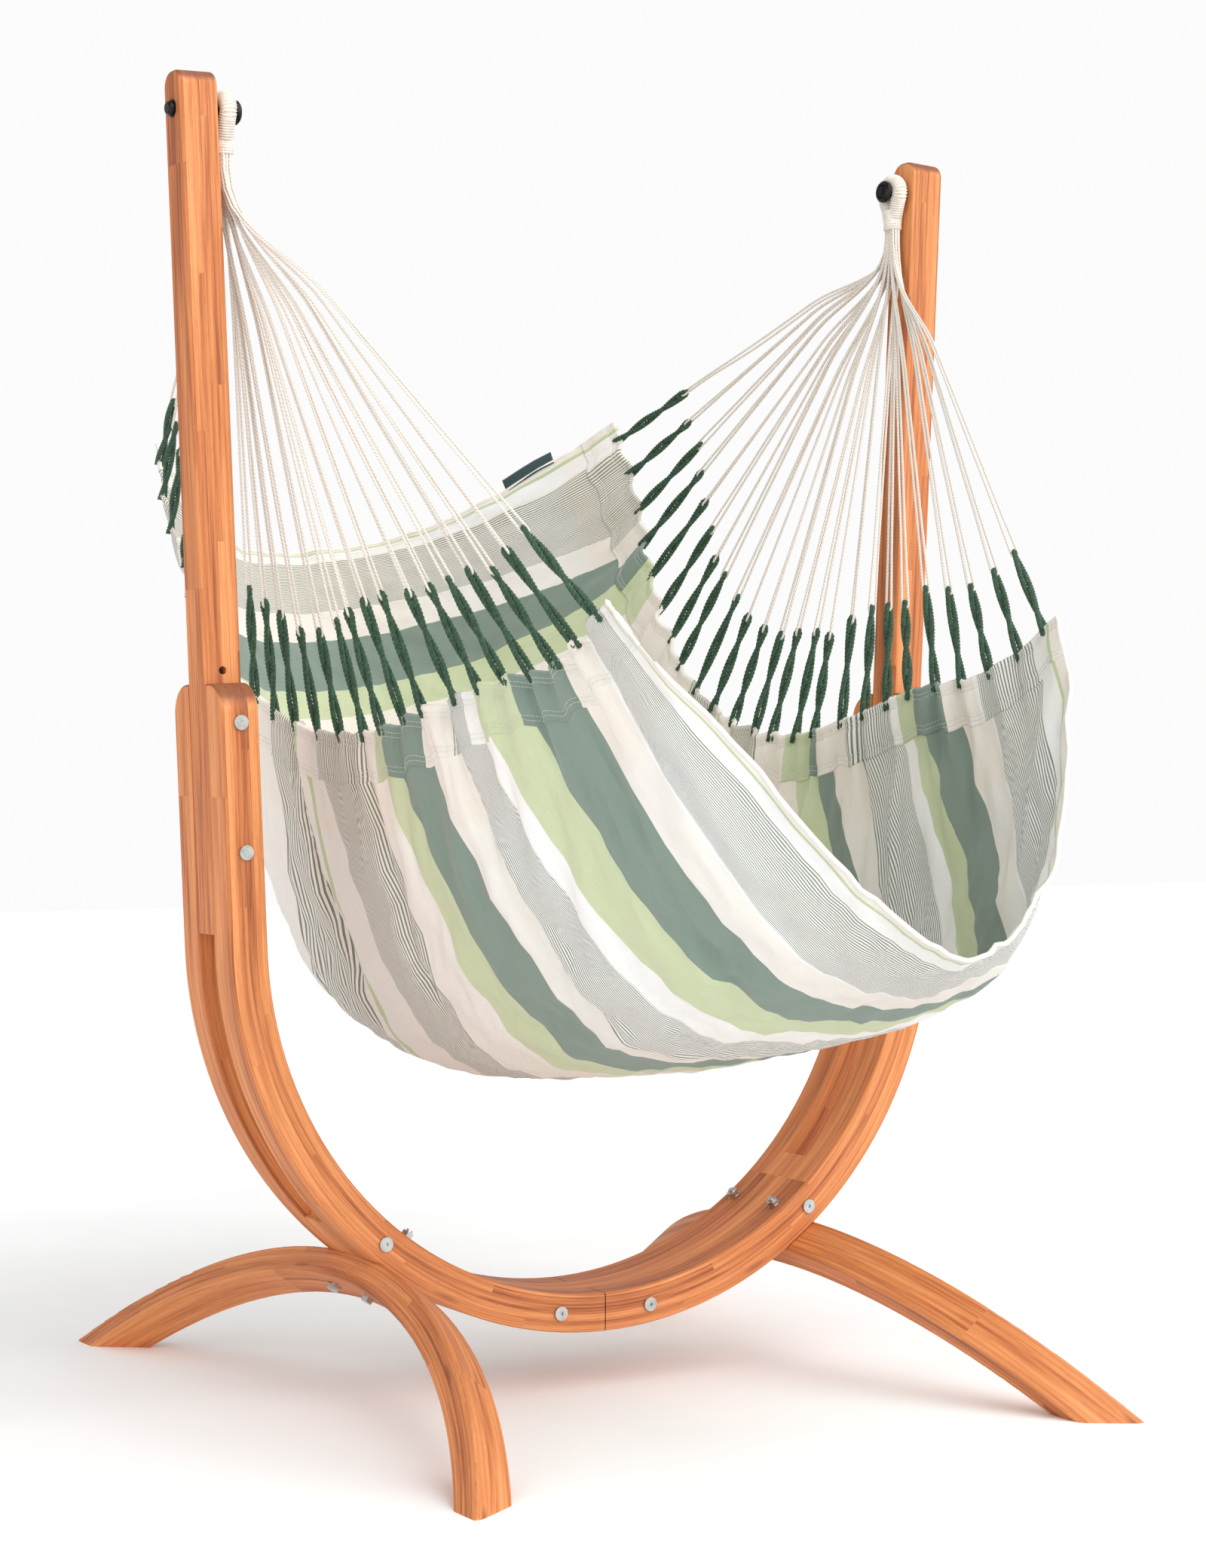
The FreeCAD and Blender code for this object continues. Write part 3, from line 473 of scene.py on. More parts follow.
cloth = {
    "hem": [(0.380, -0.715, 1.190), (0.368, -0.560, 1.110), (0.372, -0.390, 1.090), (0.384, -0.200, 1.048),
            (0.394, -0.020, 1.020), (0.403, 0.150, 1.034), (0.415, 0.305, 1.097), (0.430, 0.425, 1.198),
            (0.445, 0.515, 1.325), (0.453, 0.580, 1.450), (0.450, 0.635, 1.555)],
    "belly": [(0.240, -0.905, 0.925), (0.265, -0.790, 0.795), (0.290, -0.620, 0.730), (0.305, -0.430, 0.700),
              (0.318, -0.220, 0.680), (0.325, -0.010, 0.668), (0.328, 0.200, 0.680), (0.325, 0.395, 0.748),
              (0.315, 0.550, 0.890), (0.300, 0.685, 1.110), (0.285, 0.840, 1.425)],
    "middle": [(0, -1.004, 0.738), (0, -0.850, 0.672), (0, -0.670, 0.620), (0, -0.470, 0.574),
               (0, -0.250, 0.525), (0, -0.020, 0.492), (0, 0.220, 0.489), (0, 0.450, 0.560),
               (0, 0.650, 0.740), (0, 0.840, 1.040), (0, 0.996, 1.368)],
    "bellyAt": 0.72,         # where the belly section lies between middle and hem
    "backTilt": 0.045,
    "across": 136,           # cells from the front edge to the back edge
    "along": 44,             # cells from hem to hem
    "hemWidth": 1.64,
    "ripple": 0.0075,        # gathers between the rope loops
    "scallop": 0.0045,       # the hem is drawn out at each loop
    "folds": 0.013,
    # long creases: side, share at the hem, share at the inner end, its place from 1 at the hem
    # to 0, depth
    "creases": [(-1, 0.289, 0.224, 0.35, 0.021), (-1, 0.437, 0.398, 0.40, 0.016),
                (-1, 0.574, 0.500, 0.50, 0.022), (-1, 0.098, 0.112, 0.30, 0.009),
                (-1, 0.690, 0.680, 0.55, 0.012), (1, 0.392, 0.430, 0.45, 0.018),
                (1, 0.250, 0.260, 0.60, 0.012), (1, 0.610, 0.590, 0.50, 0.013),
                (1, 0.760, 0.780, 0.60, 0.010)],
    "creaseWide": 0.0058,
    "ease": 0.012,           # extra cloth let into the weave before it settles
    "frames": 36,
    "thick": 0.0016,
    "flat": (2.15, 1.52),
    "loops": 24,
}


def clothStart():
    v = np.linspace(0, 1, cloth["across"] + 1)
    hem, belly, middle = (curveThrough(cloth[k], v) for k in ("hem", "belly", "middle"))
    u = np.linspace(-1, 1, cloth["along"] + 1)
    at = cloth["bellyAt"]
    grid = np.zeros((len(u), len(v), 3))
    q = (hem[:, 0] - belly[:, 0] / at) / (1 - at ** 2)
    p = hem[:, 0] - q
    whole, part = hem - middle, belly - middle
    c = (at ** 2 * whole - part) / (at ** 2 - at ** 4)
    b = whole - c
    for i, s in enumerate(u):
        grid[i] = middle + b * s ** 2 + c * s ** 4
        grid[i][:, 0] = s * (p + q * s ** 2)
    tilt = np.minimum(np.maximum((grid[..., 1] + 0.1) / 0.735, 0) ** 2, 1)
    grid[..., 2] += cloth["backTilt"] * grid[..., 0] / 0.45 * tilt
    return u, v, grid


def clothFolds(u, v, grid):
    # gathers at the hems and a few long soft folds between them
    normal = facing(grid)
    rnd = random.Random(11)
    push = np.zeros(grid.shape[:2])
    outward = np.zeros(grid.shape[:2])
    for sign in (-1, 1):
        # uneven gathers, each rope loop with its own strength
        knots = np.linspace(0, 1, cloth["loops"] + 1)
        strength = np.interp(v, knots, [rnd.uniform(0.35, 1.5) for _ in knots])
        slip = np.interp(v, knots, [rnd.uniform(-0.22, 0.22) for _ in knots])
        wave = np.cos(2 * math.pi * (cloth["loops"] * v + slip)) * strength
        for i, s in enumerate(u):
            if sign * s <= 0:
                continue
            push[i] += cloth["ripple"] * math.exp(-(1 - sign * s) / 0.16) * wave
            outward[i] -= sign * cloth["scallop"] * math.exp(-(1 - sign * s) / 0.05) * wave
    for sign in (-1, 1):
        for _ in range(11):
            at, wide = rnd.uniform(0.04, 0.96), rnd.uniform(0.012, 0.030)
            start, high = rnd.uniform(0.35, 0.75), rnd.uniform(-1.0, 0.6)
            drift = rnd.uniform(-0.05, 0.05)
            for i, s in enumerate(u):
                out = max(0.0, (sign * s - (1 - start)) / start)
                fade = math.sin(min(out, 1.0) * math.pi * 0.62) ** 2
                bell = np.exp(-((v - at - drift * (1 - abs(s))) / wide) ** 2)
                push[i] += cloth["folds"] * high * fade * bell
    edge = np.minimum(1, np.minimum(v, 1 - v) / 0.04)[None]
    across = unit(np.gradient(grid, axis=0))
    return grid + normal * (push * edge)[..., None] + across * (outward * edge)[..., None]


def clothCreases(grid):
    # press the long creases inward, each beside a low ridge
    u, v = np.linspace(-1, 1, grid.shape[0]), np.linspace(0, 1, grid.shape[1])
    push = np.zeros(grid.shape[:2])
    wide = cloth["creaseWide"]
    for sign, at, inner, reach, deep in cloth["creases"]:
        for i, s in enumerate(u):
            run = (sign * s - reach) / (1 - reach)
            if run <= 0:
                continue
            centre = inner + (at - inner) * run ** 1.5
            fade = math.sin(min(1.0, run * 1.8) * math.pi / 2) ** 2 * (1 - 0.5 * run)
            push[i] -= deep * fade * np.exp(-((v - centre) / wide) ** 2)
            push[i] += 0.45 * deep * fade * np.exp(-((v - centre - 2.3 * wide) / (1.4 * wide)) ** 2)
    normal = facing(grid)
    upward = np.sign(normal[grid.shape[0] // 2, grid.shape[1] // 2, 2])
    return grid - normal * push[..., None] * upward


def clothSettled(grid):
    # let the cloth settle, held along its two end hems
    across, along = grid.shape[1], grid.shape[0]
    faces = [(i * across + j, (i + 1) * across + j, (i + 1) * across + j + 1, i * across + j + 1)
             for i in range(along - 1) for j in range(across - 1)]
    hanging = makePiece("settling", grid.reshape(-1, 3), faces)
    held = hanging.vertex_groups.new(name="held")
    rows = list(range(across)) + [(along - 1) * across + j for j in range(across)]
    held.add(rows, 1.0, "REPLACE")
    weave = hanging.modifiers.new("weave", "CLOTH")
    cfg = weave.settings
    cfg.quality = 7
    cfg.mass = 0.0012
    cfg.tension_stiffness = 45
    cfg.compression_stiffness = 12
    cfg.shear_stiffness = 4
    cfg.bending_stiffness = 0.08
    cfg.tension_damping = cfg.compression_damping = cfg.shear_damping = 18
    cfg.air_damping = 2
    cfg.vertex_group_mass = "held"
    cfg.pin_stiffness = 1
    cfg.shrink_min = -cloth["ease"]
    weave.point_cache.frame_end = cloth["frames"] + 5
    for number in range(1, cloth["frames"] + 1):
        scene.frame_set(number)
    view = bpy.context.evaluated_depsgraph_get()
    shape = bpy.data.meshes.new_from_object(hanging.evaluated_get(view), depsgraph=view)
    out = np.zeros(len(shape.vertices) * 3, np.float32)
    shape.vertices.foreach_get("co", out)
    bpy.data.meshes.remove(shape)
    bpy.data.objects.remove(hanging)
    scene.frame_set(1)
    # keep only what it moved square to the surface
    moved = out.reshape(along, across, 3).astype(float) - grid
    normal = facing(grid)
    return grid + normal * np.sum(moved * normal, axis=2, keepdims=True)


def finer(grid, axis):
    # twice as many cells along one axis, on a smooth curve
    g = np.moveaxis(grid, axis, 0)
    mid = np.empty((len(g) - 1,) + g.shape[1:])
    mid[1:-1] = (9 * (g[1:-2] + g[2:-1]) - g[:-3] - g[3:]) / 16
    mid[0], mid[-1] = (g[0] + g[1]) / 2, (g[-1] + g[-2]) / 2
    out = np.empty((2 * len(g) - 1,) + g.shape[1:])
    out[::2], out[1::2] = g, mid
    return np.moveaxis(out, 0, axis)


u, v, grid = clothStart()
grid = clothFolds(u, v, grid)
grid = clothSettled(grid)
grid = clothCreases(finer(finer(finer(grid, 0), 1), 1))
shareU = np.linspace(-1, 1, grid.shape[0])
shareV = np.linspace(0, 1, grid.shape[1])
normals = facing(grid)
print("cloth settled", round(float(grid[..., 2].min()), 3))


# where the stripes lie: place across the flat cloth from its front edge, then the share of the way
# to the back edge at the left hem, the middle and the right hem, as the cloth is gathered
stripeMap = [
    (0.000, 0.000, 0.000, 0.000), (0.040, 0.013, 0.014, 0.040), (0.118, 0.050, 0.058, 0.118),
    (0.160, 0.098, 0.078, 0.167), (0.205, 0.176, 0.106, 0.220), (0.240, 0.244, 0.134, 0.240),
    (0.256, 0.262, 0.165, 0.254), (0.320, 0.288, 0.230, 0.332), (0.360, 0.330, 0.241, 0.385),
    (0.395, 0.393, 0.286, 0.402), (0.425, 0.416, 0.329, 0.446), (0.445, 0.436, 0.385, 0.494),
    (0.530, 0.524, 0.438, 0.550), (0.556, 0.552, 0.480, 0.578), (0.570, 0.567, 0.500, 0.595),
    (0.620, 0.610, 0.600, 0.655), (0.700, 0.720, 0.760, 0.750), (0.745, 0.790, 0.862, 0.790),
    (0.785, 0.830, 0.885, 0.830), (0.830, 0.855, 0.925, 0.855), (0.875, 0.880, 0.950, 0.880),
    (0.965, 0.965, 0.990, 0.965), (1.000, 1.000, 1.000, 1.000)]
bands = [(0.000, "cream"), (0.010, "thin"), (0.013, "white"), (0.118, "cream"), (0.160, "sage"),
         (0.205, "lime"), (0.240, "white"), (0.320, "cream"), (0.360, "sage"), (0.395, "lime"),
         (0.425, "cream"), (0.556, "thin"), (0.559, "cream"), (0.745, "lime"), (0.785, "sage"),
         (0.830, "cream"), (0.965, "white"), (0.985, "thin"), (0.989, "cream")]
yarns = {"cream": (243, 239, 232), "white": (249, 249, 248), "sage": (134, 151, 140),
         "lime": (207, 217, 178), "thin": (200, 212, 168), "line": (112, 120, 102)}
# each group of pin lines: start, end, and the side where its lines are coarse
pinGroups = [(0.040, 0.118, "front"), (0.256, 0.320, "back"), (0.445, 0.530, "front"),
             (0.570, 0.620, "back"), (0.875, 0.965, "back")]
pinPitch = (0.0056, 0.0028)   # coarse and fine spacing of the lines


def stripePlace(s, share):
    # place across the flat cloth for points at s, -1 to 1 from hem to hem
    rows = np.array(stripeMap)
    hem = rows[:, 1] if s < 0 else rows[:, 3]
    return np.interp(share, rows[:, 2] + (hem - rows[:, 2]) * s ** 4, rows[:, 0])


def clothMaterial():
    # uv.x = metres across the flat cloth, uv.y = share from hem to hem
    s = Shader("striped_cotton", Roughness=0.92, Sheen_Weight=0.25, Sheen_Roughness=0.5,
               Specular_IOR_Level=0.2)
    across, share, _ = s.uv()
    wide = cloth["hemWidth"]
    place = s.math("DIVIDE", across, wide)
    colour = s.ramp(place, [(start, linear(*yarns[tone])) for start, tone in bands], constant=True)
    # mottled yarn in the dark stripes
    yarn = s.noise(s.vector(s.times(across, 950.0), s.times(share, 90.0)), 1.0, 2.0, 0.6)
    tint = s.plus(0.90, s.times(yarn, 0.2))
    colour = s.mix(1.0, colour, s.vector(tint, tint, tint), "MULTIPLY")
    # pin stripes, closer together across each group
    coarse, fine = (1 / pitch for pitch in pinPitch)
    for start, end, side in pinGroups:
        begin, stop = start * wide, end * wide
        inside = s.times(s.math("GREATER_THAN", across, begin), s.math("LESS_THAN", across, stop))
        run = s.minus(across, begin) if side == "front" else s.minus(stop, across)
        growth = (fine - coarse) / (stop - begin) / 2
        count = s.plus(s.times(run, coarse), s.times(s.times(run, run), growth))
        on = s.math("LESS_THAN", s.math("FRACT", count), 0.44)
        colour = s.mix(s.times(s.times(inside, on), 0.9), colour, linear(*yarns["line"]))
    # the dye drifts between the hems
    fromHem = s.times(s.math("MINIMUM", share, s.minus(1.0, share)), 2.0)
    drift = s.ramp(fromHem, [(0.0, (1.0, 0.965, 0.93, 1)), (0.095, (1.0, 0.97, 0.94, 1)),
                             (0.105, (1, 1, 1, 1)), (0.42, (1, 0.998, 0.99, 1)),
                             (0.75, (0.985, 0.955, 0.92, 1))])
    pale = s.math("GREATER_THAN", s.split(colour)[2], 0.52)
    colour = s.mix(pale, colour, s.mix(1.0, colour, drift, "MULTIPLY"))
    # plain weave and soft creases
    warp = s.math("SINE", s.times(across, 2 * math.pi / 0.0013))
    weft = s.math("SINE", s.times(share, 2 * math.pi * 1.5 / 0.0013))
    weave = s.times(warp, weft)
    crease = s.noise(s.vector(s.times(across, 26.0), s.times(share, 4.5)), 1.0, 4.0, 0.6, 0.4)
    height = s.plus(s.times(weave, 0.05), s.plus(crease, s.times(yarn, 0.04)))
    s.bump(height, 0.006, 0.55)
    return s.finish(colour)


fabric = clothMaterial()
flatPlace = np.array([stripePlace(s, shareV) for s in shareU]) * cloth["hemWidth"]
uvGrid = np.stack([flatPlace, np.broadcast_to((shareU[:, None] + 1) / 2, flatPlace.shape)], -1)
verts, faces, uvs = closeSheet(grid, uvGrid, cloth["thick"])
clothPiece = settle(makePiece("hammock_body_cloth", verts, faces, uvs), "hammock", fabric)
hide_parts("hammock_cloth")


# folded end hems with stitched channels

hemFold = {
    "deep": 0.076,
    "lines": (0.009, 0.016, 0.060, 0.067),   # stitch rows from the outer edge
    "puff": 0.0022,
    "skin": 0.0016,
    "pucker": 0.0009,
    "edge": 0.0045,
}


def hemFrames(side):
    # points and normals at chosen distances in from a hem
    order = slice(None) if side < 0 else slice(None, None, -1)
    rows, out = grid[order], normals[order]
    reach = np.concatenate([np.zeros((1, rows.shape[1])),
                            np.cumsum(np.linalg.norm(np.diff(rows, axis=0), axis=2), axis=0)])

    def at(distance):
        columns = range(rows.shape[1])
        spot = np.array([readOff(distance, reach[:12, j], rows[:12, j]) for j in columns])
        face = np.array([readOff(distance, reach[:12, j], out[:12, j]) for j in columns])
        return spot, unit(face)
    return at, reach


def stitchedHeight(distance):
    # the fold is drawn down along each stitch row
    near = min(abs(distance - d) for d in hemFold["lines"])
    return hemFold["skin"] + hemFold["puff"] * (1 - math.exp(-(near / 0.0045) ** 2)) * (
        1.0 if distance < 0.062 else 0.4)


hemTools = {word: hemFrames(side) for word, side in sides.items()}
steps = [0.076, 0.0755, 0.072, 0.067, 0.0635, 0.060, 0.054, 0.044, 0.034, 0.024, 0.019, 0.016, 0.0125,
         0.009, 0.005, 0.001]
for word, side in sides.items():
    at, reach = hemTools[word]
    profile = []
    wave = np.sin(shareV * 2 * math.pi * 190) * 0.6 + np.sin(shareV * 2 * math.pi * 83 + 1.3) * 0.4
    for face in (1, -1):
        part = []
        for d in steps:
            spot, out = at(d)
            tall = stitchedHeight(d) if d < 0.0757 else 0.0002
            lift = tall + hemFold["pucker"] * wave * (0.3 + 0.7 * math.exp(-((d - 0.013) / 0.02) ** 2))
            part.append((spot + out * (face * np.maximum(lift, 0.0002))[:, None], d))
        profile.append(part if face > 0 else part[::-1])
    first = at(0.0)[0]
    outward = unit(first - at(0.004)[0])
    tip = [(first + outward * (hemFold["edge"] * 0.8 + 0.0006 * wave)[:, None], 0.0)]
    ring = profile[0] + tip + profile[1]
    count, along = len(ring), grid.shape[1]
    verts = np.concatenate([r[0] for r in ring])
    total = reach[-1].mean()
    vv = [(d / total) if side < 0 else 1 - d / total for _, d in ring]
    ss = stripePlace(side, shareV) * cloth["hemWidth"]
    faces, uvs = [], []
    for i in range(count):
        n = (i + 1) % count
        for j in range(along - 1):
            quad = ((i, j), (i, j + 1), (n, j + 1), (n, j))
            if side > 0:
                quad = quad[::-1]
            faces.append(tuple(a * along + b for a, b in quad))
            uvs.extend((ss[b], vv[a]) for a, b in quad)
    for j in (0, along - 1):
        cap = [(i, j) for i in range(count)]
        if (j == 0) == (side > 0):
            cap.reverse()
        faces.append(tuple(a * along + b for a, b in cap))
        uvs.extend((ss[b], vv[a]) for a, b in cap)
    settle(makePiece(word + "_end_hem", verts, faces, uvs), "hammock", fabric)

# narrow rolled hems along the two long edges
edgeRoll = {"radius": 0.0032, "inset": 0.004}
for name, column in (("front_edge_roll", 0), ("back_edge_roll", grid.shape[1] - 1)):
    line = grid[3:-3, column]
    store = ([], [], [])
    addTube(store, line, edgeRoll["radius"])
    uv = np.array(store[2])
    place = edgeRoll["inset"] if column == 0 else cloth["hemWidth"] - edgeRoll["inset"]
    uv[:, 0], uv[:, 1] = place, uv[:, 0] / 1.6 + 0.05
    settle(makePiece(name, store[0], store[1], uv), "hammock", fabric)
print("hems folded")


# geometry nodes: a cord wound or twisted round a path, and a row of stitches

class Growth:
    def __init__(self, name, listed):
        self.tree = bpy.data.node_groups.new(name, "GeometryNodeTree")
        for socket, kind in [("Geometry", "Geometry")] + listed:
            self.tree.interface.new_socket(socket, in_out="INPUT", socket_type="NodeSocket" + kind)
        self.tree.interface.new_socket("Geometry", in_out="OUTPUT", socket_type="NodeSocketGeometry")
        self.start = self.tree.nodes.new("NodeGroupInput")
        self.end = self.tree.nodes.new("NodeGroupOutput")

    def add(self, kind, feeds=(), **props):
        node = self.tree.nodes.new(kind)
        for key, value in props.items():
            setattr(node, key, value)
        for key, value in dict(feeds).items():
            socket = node.inputs[key]
            if isinstance(value, bpy.types.NodeSocket):
                self.tree.links.new(value, socket)
            else:
                socket.default_value = value
        return node

    def math(self, op, a, b=0.0):
        return self.add("ShaderNodeMath", {0: a, 1: b}, operation=op).outputs[0]

    def scale(self, a, b):
        return self.add("ShaderNodeVectorMath", {0: a, "Scale": b}, operation="SCALE").outputs[0]

    def close(self, shape, material):
        real = self.add("GeometryNodeRealizeInstances", {"Geometry": shape})
        soft = self.add("GeometryNodeSetShadeSmooth", {"Geometry": real.outputs[0]})
        paint = self.add("GeometryNodeSetMaterial", {"Geometry": soft.outputs[0], "Material": material})
        self.tree.links.new(paint.outputs[0], self.end.inputs[0])


def windingTree():
    g = Growth("wound_cord", [("Strands", "Int"), ("Coil Radius", "Float"), ("Pitch", "Float"),
                              ("Cord Radius", "Float"), ("Step", "Float"), ("Sides", "Int"),
                              ("Material", "Material")])
    give = g.start.outputs
    path = g.add("GeometryNodeMeshToCurve", {"Mesh": give["Geometry"]})
    even = g.add("GeometryNodeResampleCurve", {"Curve": path.outputs[0], "Length": give["Step"]},
                 mode="LENGTH")
    copies = g.add("GeometryNodeDuplicateElements", {"Geometry": even.outputs[0], "Amount": give["Strands"]},
                   domain="SPLINE")
    length = g.add("GeometryNodeSplineParameter").outputs["Length"]
    phase = g.math("DIVIDE", copies.outputs["Duplicate Index"], give["Strands"])
    turn = g.math("MULTIPLY", g.math("ADD", g.math("DIVIDE", length, give["Pitch"]), phase), 2 * math.pi)
    normal = g.add("GeometryNodeInputNormal").outputs[0]
    tangent = g.add("GeometryNodeInputTangent").outputs[0]
    third = g.add("ShaderNodeVectorMath", {0: tangent, 1: normal}, operation="CROSS_PRODUCT").outputs[0]
    a = g.scale(normal, g.math("MULTIPLY", g.math("COSINE", turn), give["Coil Radius"]))
    b = g.scale(third, g.math("MULTIPLY", g.math("SINE", turn), give["Coil Radius"]))
    offset = g.add("ShaderNodeVectorMath", {0: a, 1: b}, operation="ADD").outputs[0]
    moved = g.add("GeometryNodeSetPosition", {"Geometry": copies.outputs[0], "Offset": offset})
    ring = g.add("GeometryNodeCurvePrimitiveCircle",
                 {"Resolution": give["Sides"], "Radius": give["Cord Radius"]})
    body = g.add("GeometryNodeCurveToMesh", {"Curve": moved.outputs[0], "Profile Curve": ring.outputs[0],
                                             "Fill Caps": True})
    g.close(body.outputs[0], give["Material"])
    return g.tree


def stitchTree():
    g = Growth("stitch_row", [("Pitch", "Float"), ("Length", "Float"), ("Thickness", "Float"),
                              ("Material", "Material")])
    give = g.start.outputs
    path = g.add("GeometryNodeMeshToCurve", {"Mesh": give["Geometry"]})
    even = g.add("GeometryNodeResampleCurve", {"Curve": path.outputs[0], "Length": give["Pitch"]},
                 mode="LENGTH")
    thread = g.add("GeometryNodeMeshCylinder",
                   {"Vertices": 5, "Radius": give["Thickness"], "Depth": give["Length"]})
    tangent = g.add("GeometryNodeInputTangent").outputs[0]
    turn = g.add("FunctionNodeAlignEulerToVector", {"Vector": tangent}, axis="Z")
    rows = g.add("GeometryNodeInstanceOnPoints", {"Points": even.outputs[0], "Instance": thread.outputs[0],
                                                  "Rotation": turn.outputs[0]})
    g.close(rows.outputs[0], give["Material"])
    return g.tree


def grow(name, paths, tree, values, body):
    # run a node tree on open paths and keep the result as a plain mesh
    verts, edges = [], []
    for path in paths:
        base = len(verts)
        verts.extend(tuple(p) for p in path)
        edges.extend((base + k, base + k + 1) for k in range(len(path) - 1))
    mesh = bpy.data.meshes.new(name + "_paths")
    mesh.from_pydata(verts, edges, [])
    carrier = bpy.data.objects.new(name + "_carrier", mesh)
    scene.collection.objects.link(carrier)
    growth = carrier.modifiers.new("growth", "NODES")
    growth.node_group = tree
    for item in tree.interface.items_tree:
        if item.in_out == "INPUT" and item.name in values:
            growth[item.identifier] = values[item.name]
    view = bpy.context.evaluated_depsgraph_get()
    shape = bpy.data.meshes.new_from_object(carrier.evaluated_get(view), depsgraph=view)
    bpy.data.objects.remove(carrier)
    piece = bpy.data.objects.new(name, shape)
    shape.name = name
    scene.collection.objects.link(piece)
    return settle(piece, body, values["Material"])


winding = windingTree()
stitching = stitchTree()


# thread, cord and rope finishes

def cordMaterial(name, light, dark, turns, coarse, depth, **fixed):
    # uv.x = metres along the cord, uv.y = share round it
    s = Shader(name, Roughness=0.86, **fixed)
    along, share, _ = s.uv()
    lay = s.plus(s.times(along, turns), s.times(share, 2.0))
    twist = s.math("SINE", s.times(lay, 2 * math.pi))
    fuzz = s.noise(s.objectPlace(), coarse, 3.0, 0.6)
    # the colour goes darker along the twist grooves between the strands: painted shade; the fuzz noise is
    # random fibre tone
    shade = s.plus(s.times(twist, 0.22), fuzz)
    colour = s.ramp(shade, [(0.25, linear(*dark)), (0.62, linear(*light))])
    s.bump(s.plus(s.times(twist, 0.6), fuzz), depth, 0.8)
    return s.finish(colour)


def fibreMaterial(name, light, middle, dark, coarse, depth, rough=0.85):
    s = Shader(name, Roughness=rough, Sheen_Weight=0.15)
    where = s.objectPlace()
    patch = s.noise(where, coarse * 0.12, 2.0)
    fuzz = s.noise(where, coarse, 4.0, 0.65)
    shade = s.plus(s.times(patch, 0.45), s.times(fuzz, 0.6))
    colour = s.ramp(shade, [(0.36, linear(*dark)), (0.52, linear(*middle)), (0.70, linear(*light))])
    s.bump(fuzz, depth, 0.9)
    return s.finish(colour)


# the cream cord's second tone is the painted shade in its twist grooves
creamCord = cordMaterial("cream_cord", (240, 233, 224), (214, 204, 192), 160.0, 700.0, 0.0005)
creamWrap = fibreMaterial("cream_wrap", (243, 237, 228), (233, 225, 214), (208, 197, 184), 900.0, 0.0004)
greenRope = fibreMaterial("green_rope", (78, 112, 86), (46, 80, 56), (26, 52, 36), 1300.0, 0.0005)
whiteThread = fibreMaterial("white_thread", (246, 246, 242), (236, 236, 230), (214, 214, 206), 1500.0, 0.0002)


# suspension: rope loops on the hems and cords up to the eyes

suspension = {
    "eyeX": 0.61145, "eyeZ": 1.93451, "neckDrop": 0.085, "bundleTop": 0.052,
    "ropeLong": 0.180, "ropeGap": 0.0045, "ropeStrand": 0.00225, "ropeCoil": 0.0023, "ropePitch": 0.020,
    "cordRadius": 0.0020, "cordGap": 0.0056, "tuck": 0.010, "neckSpread": 0.0041,
}


def bend(points, count):
    return curveThrough(points, np.linspace(0, 1, count))


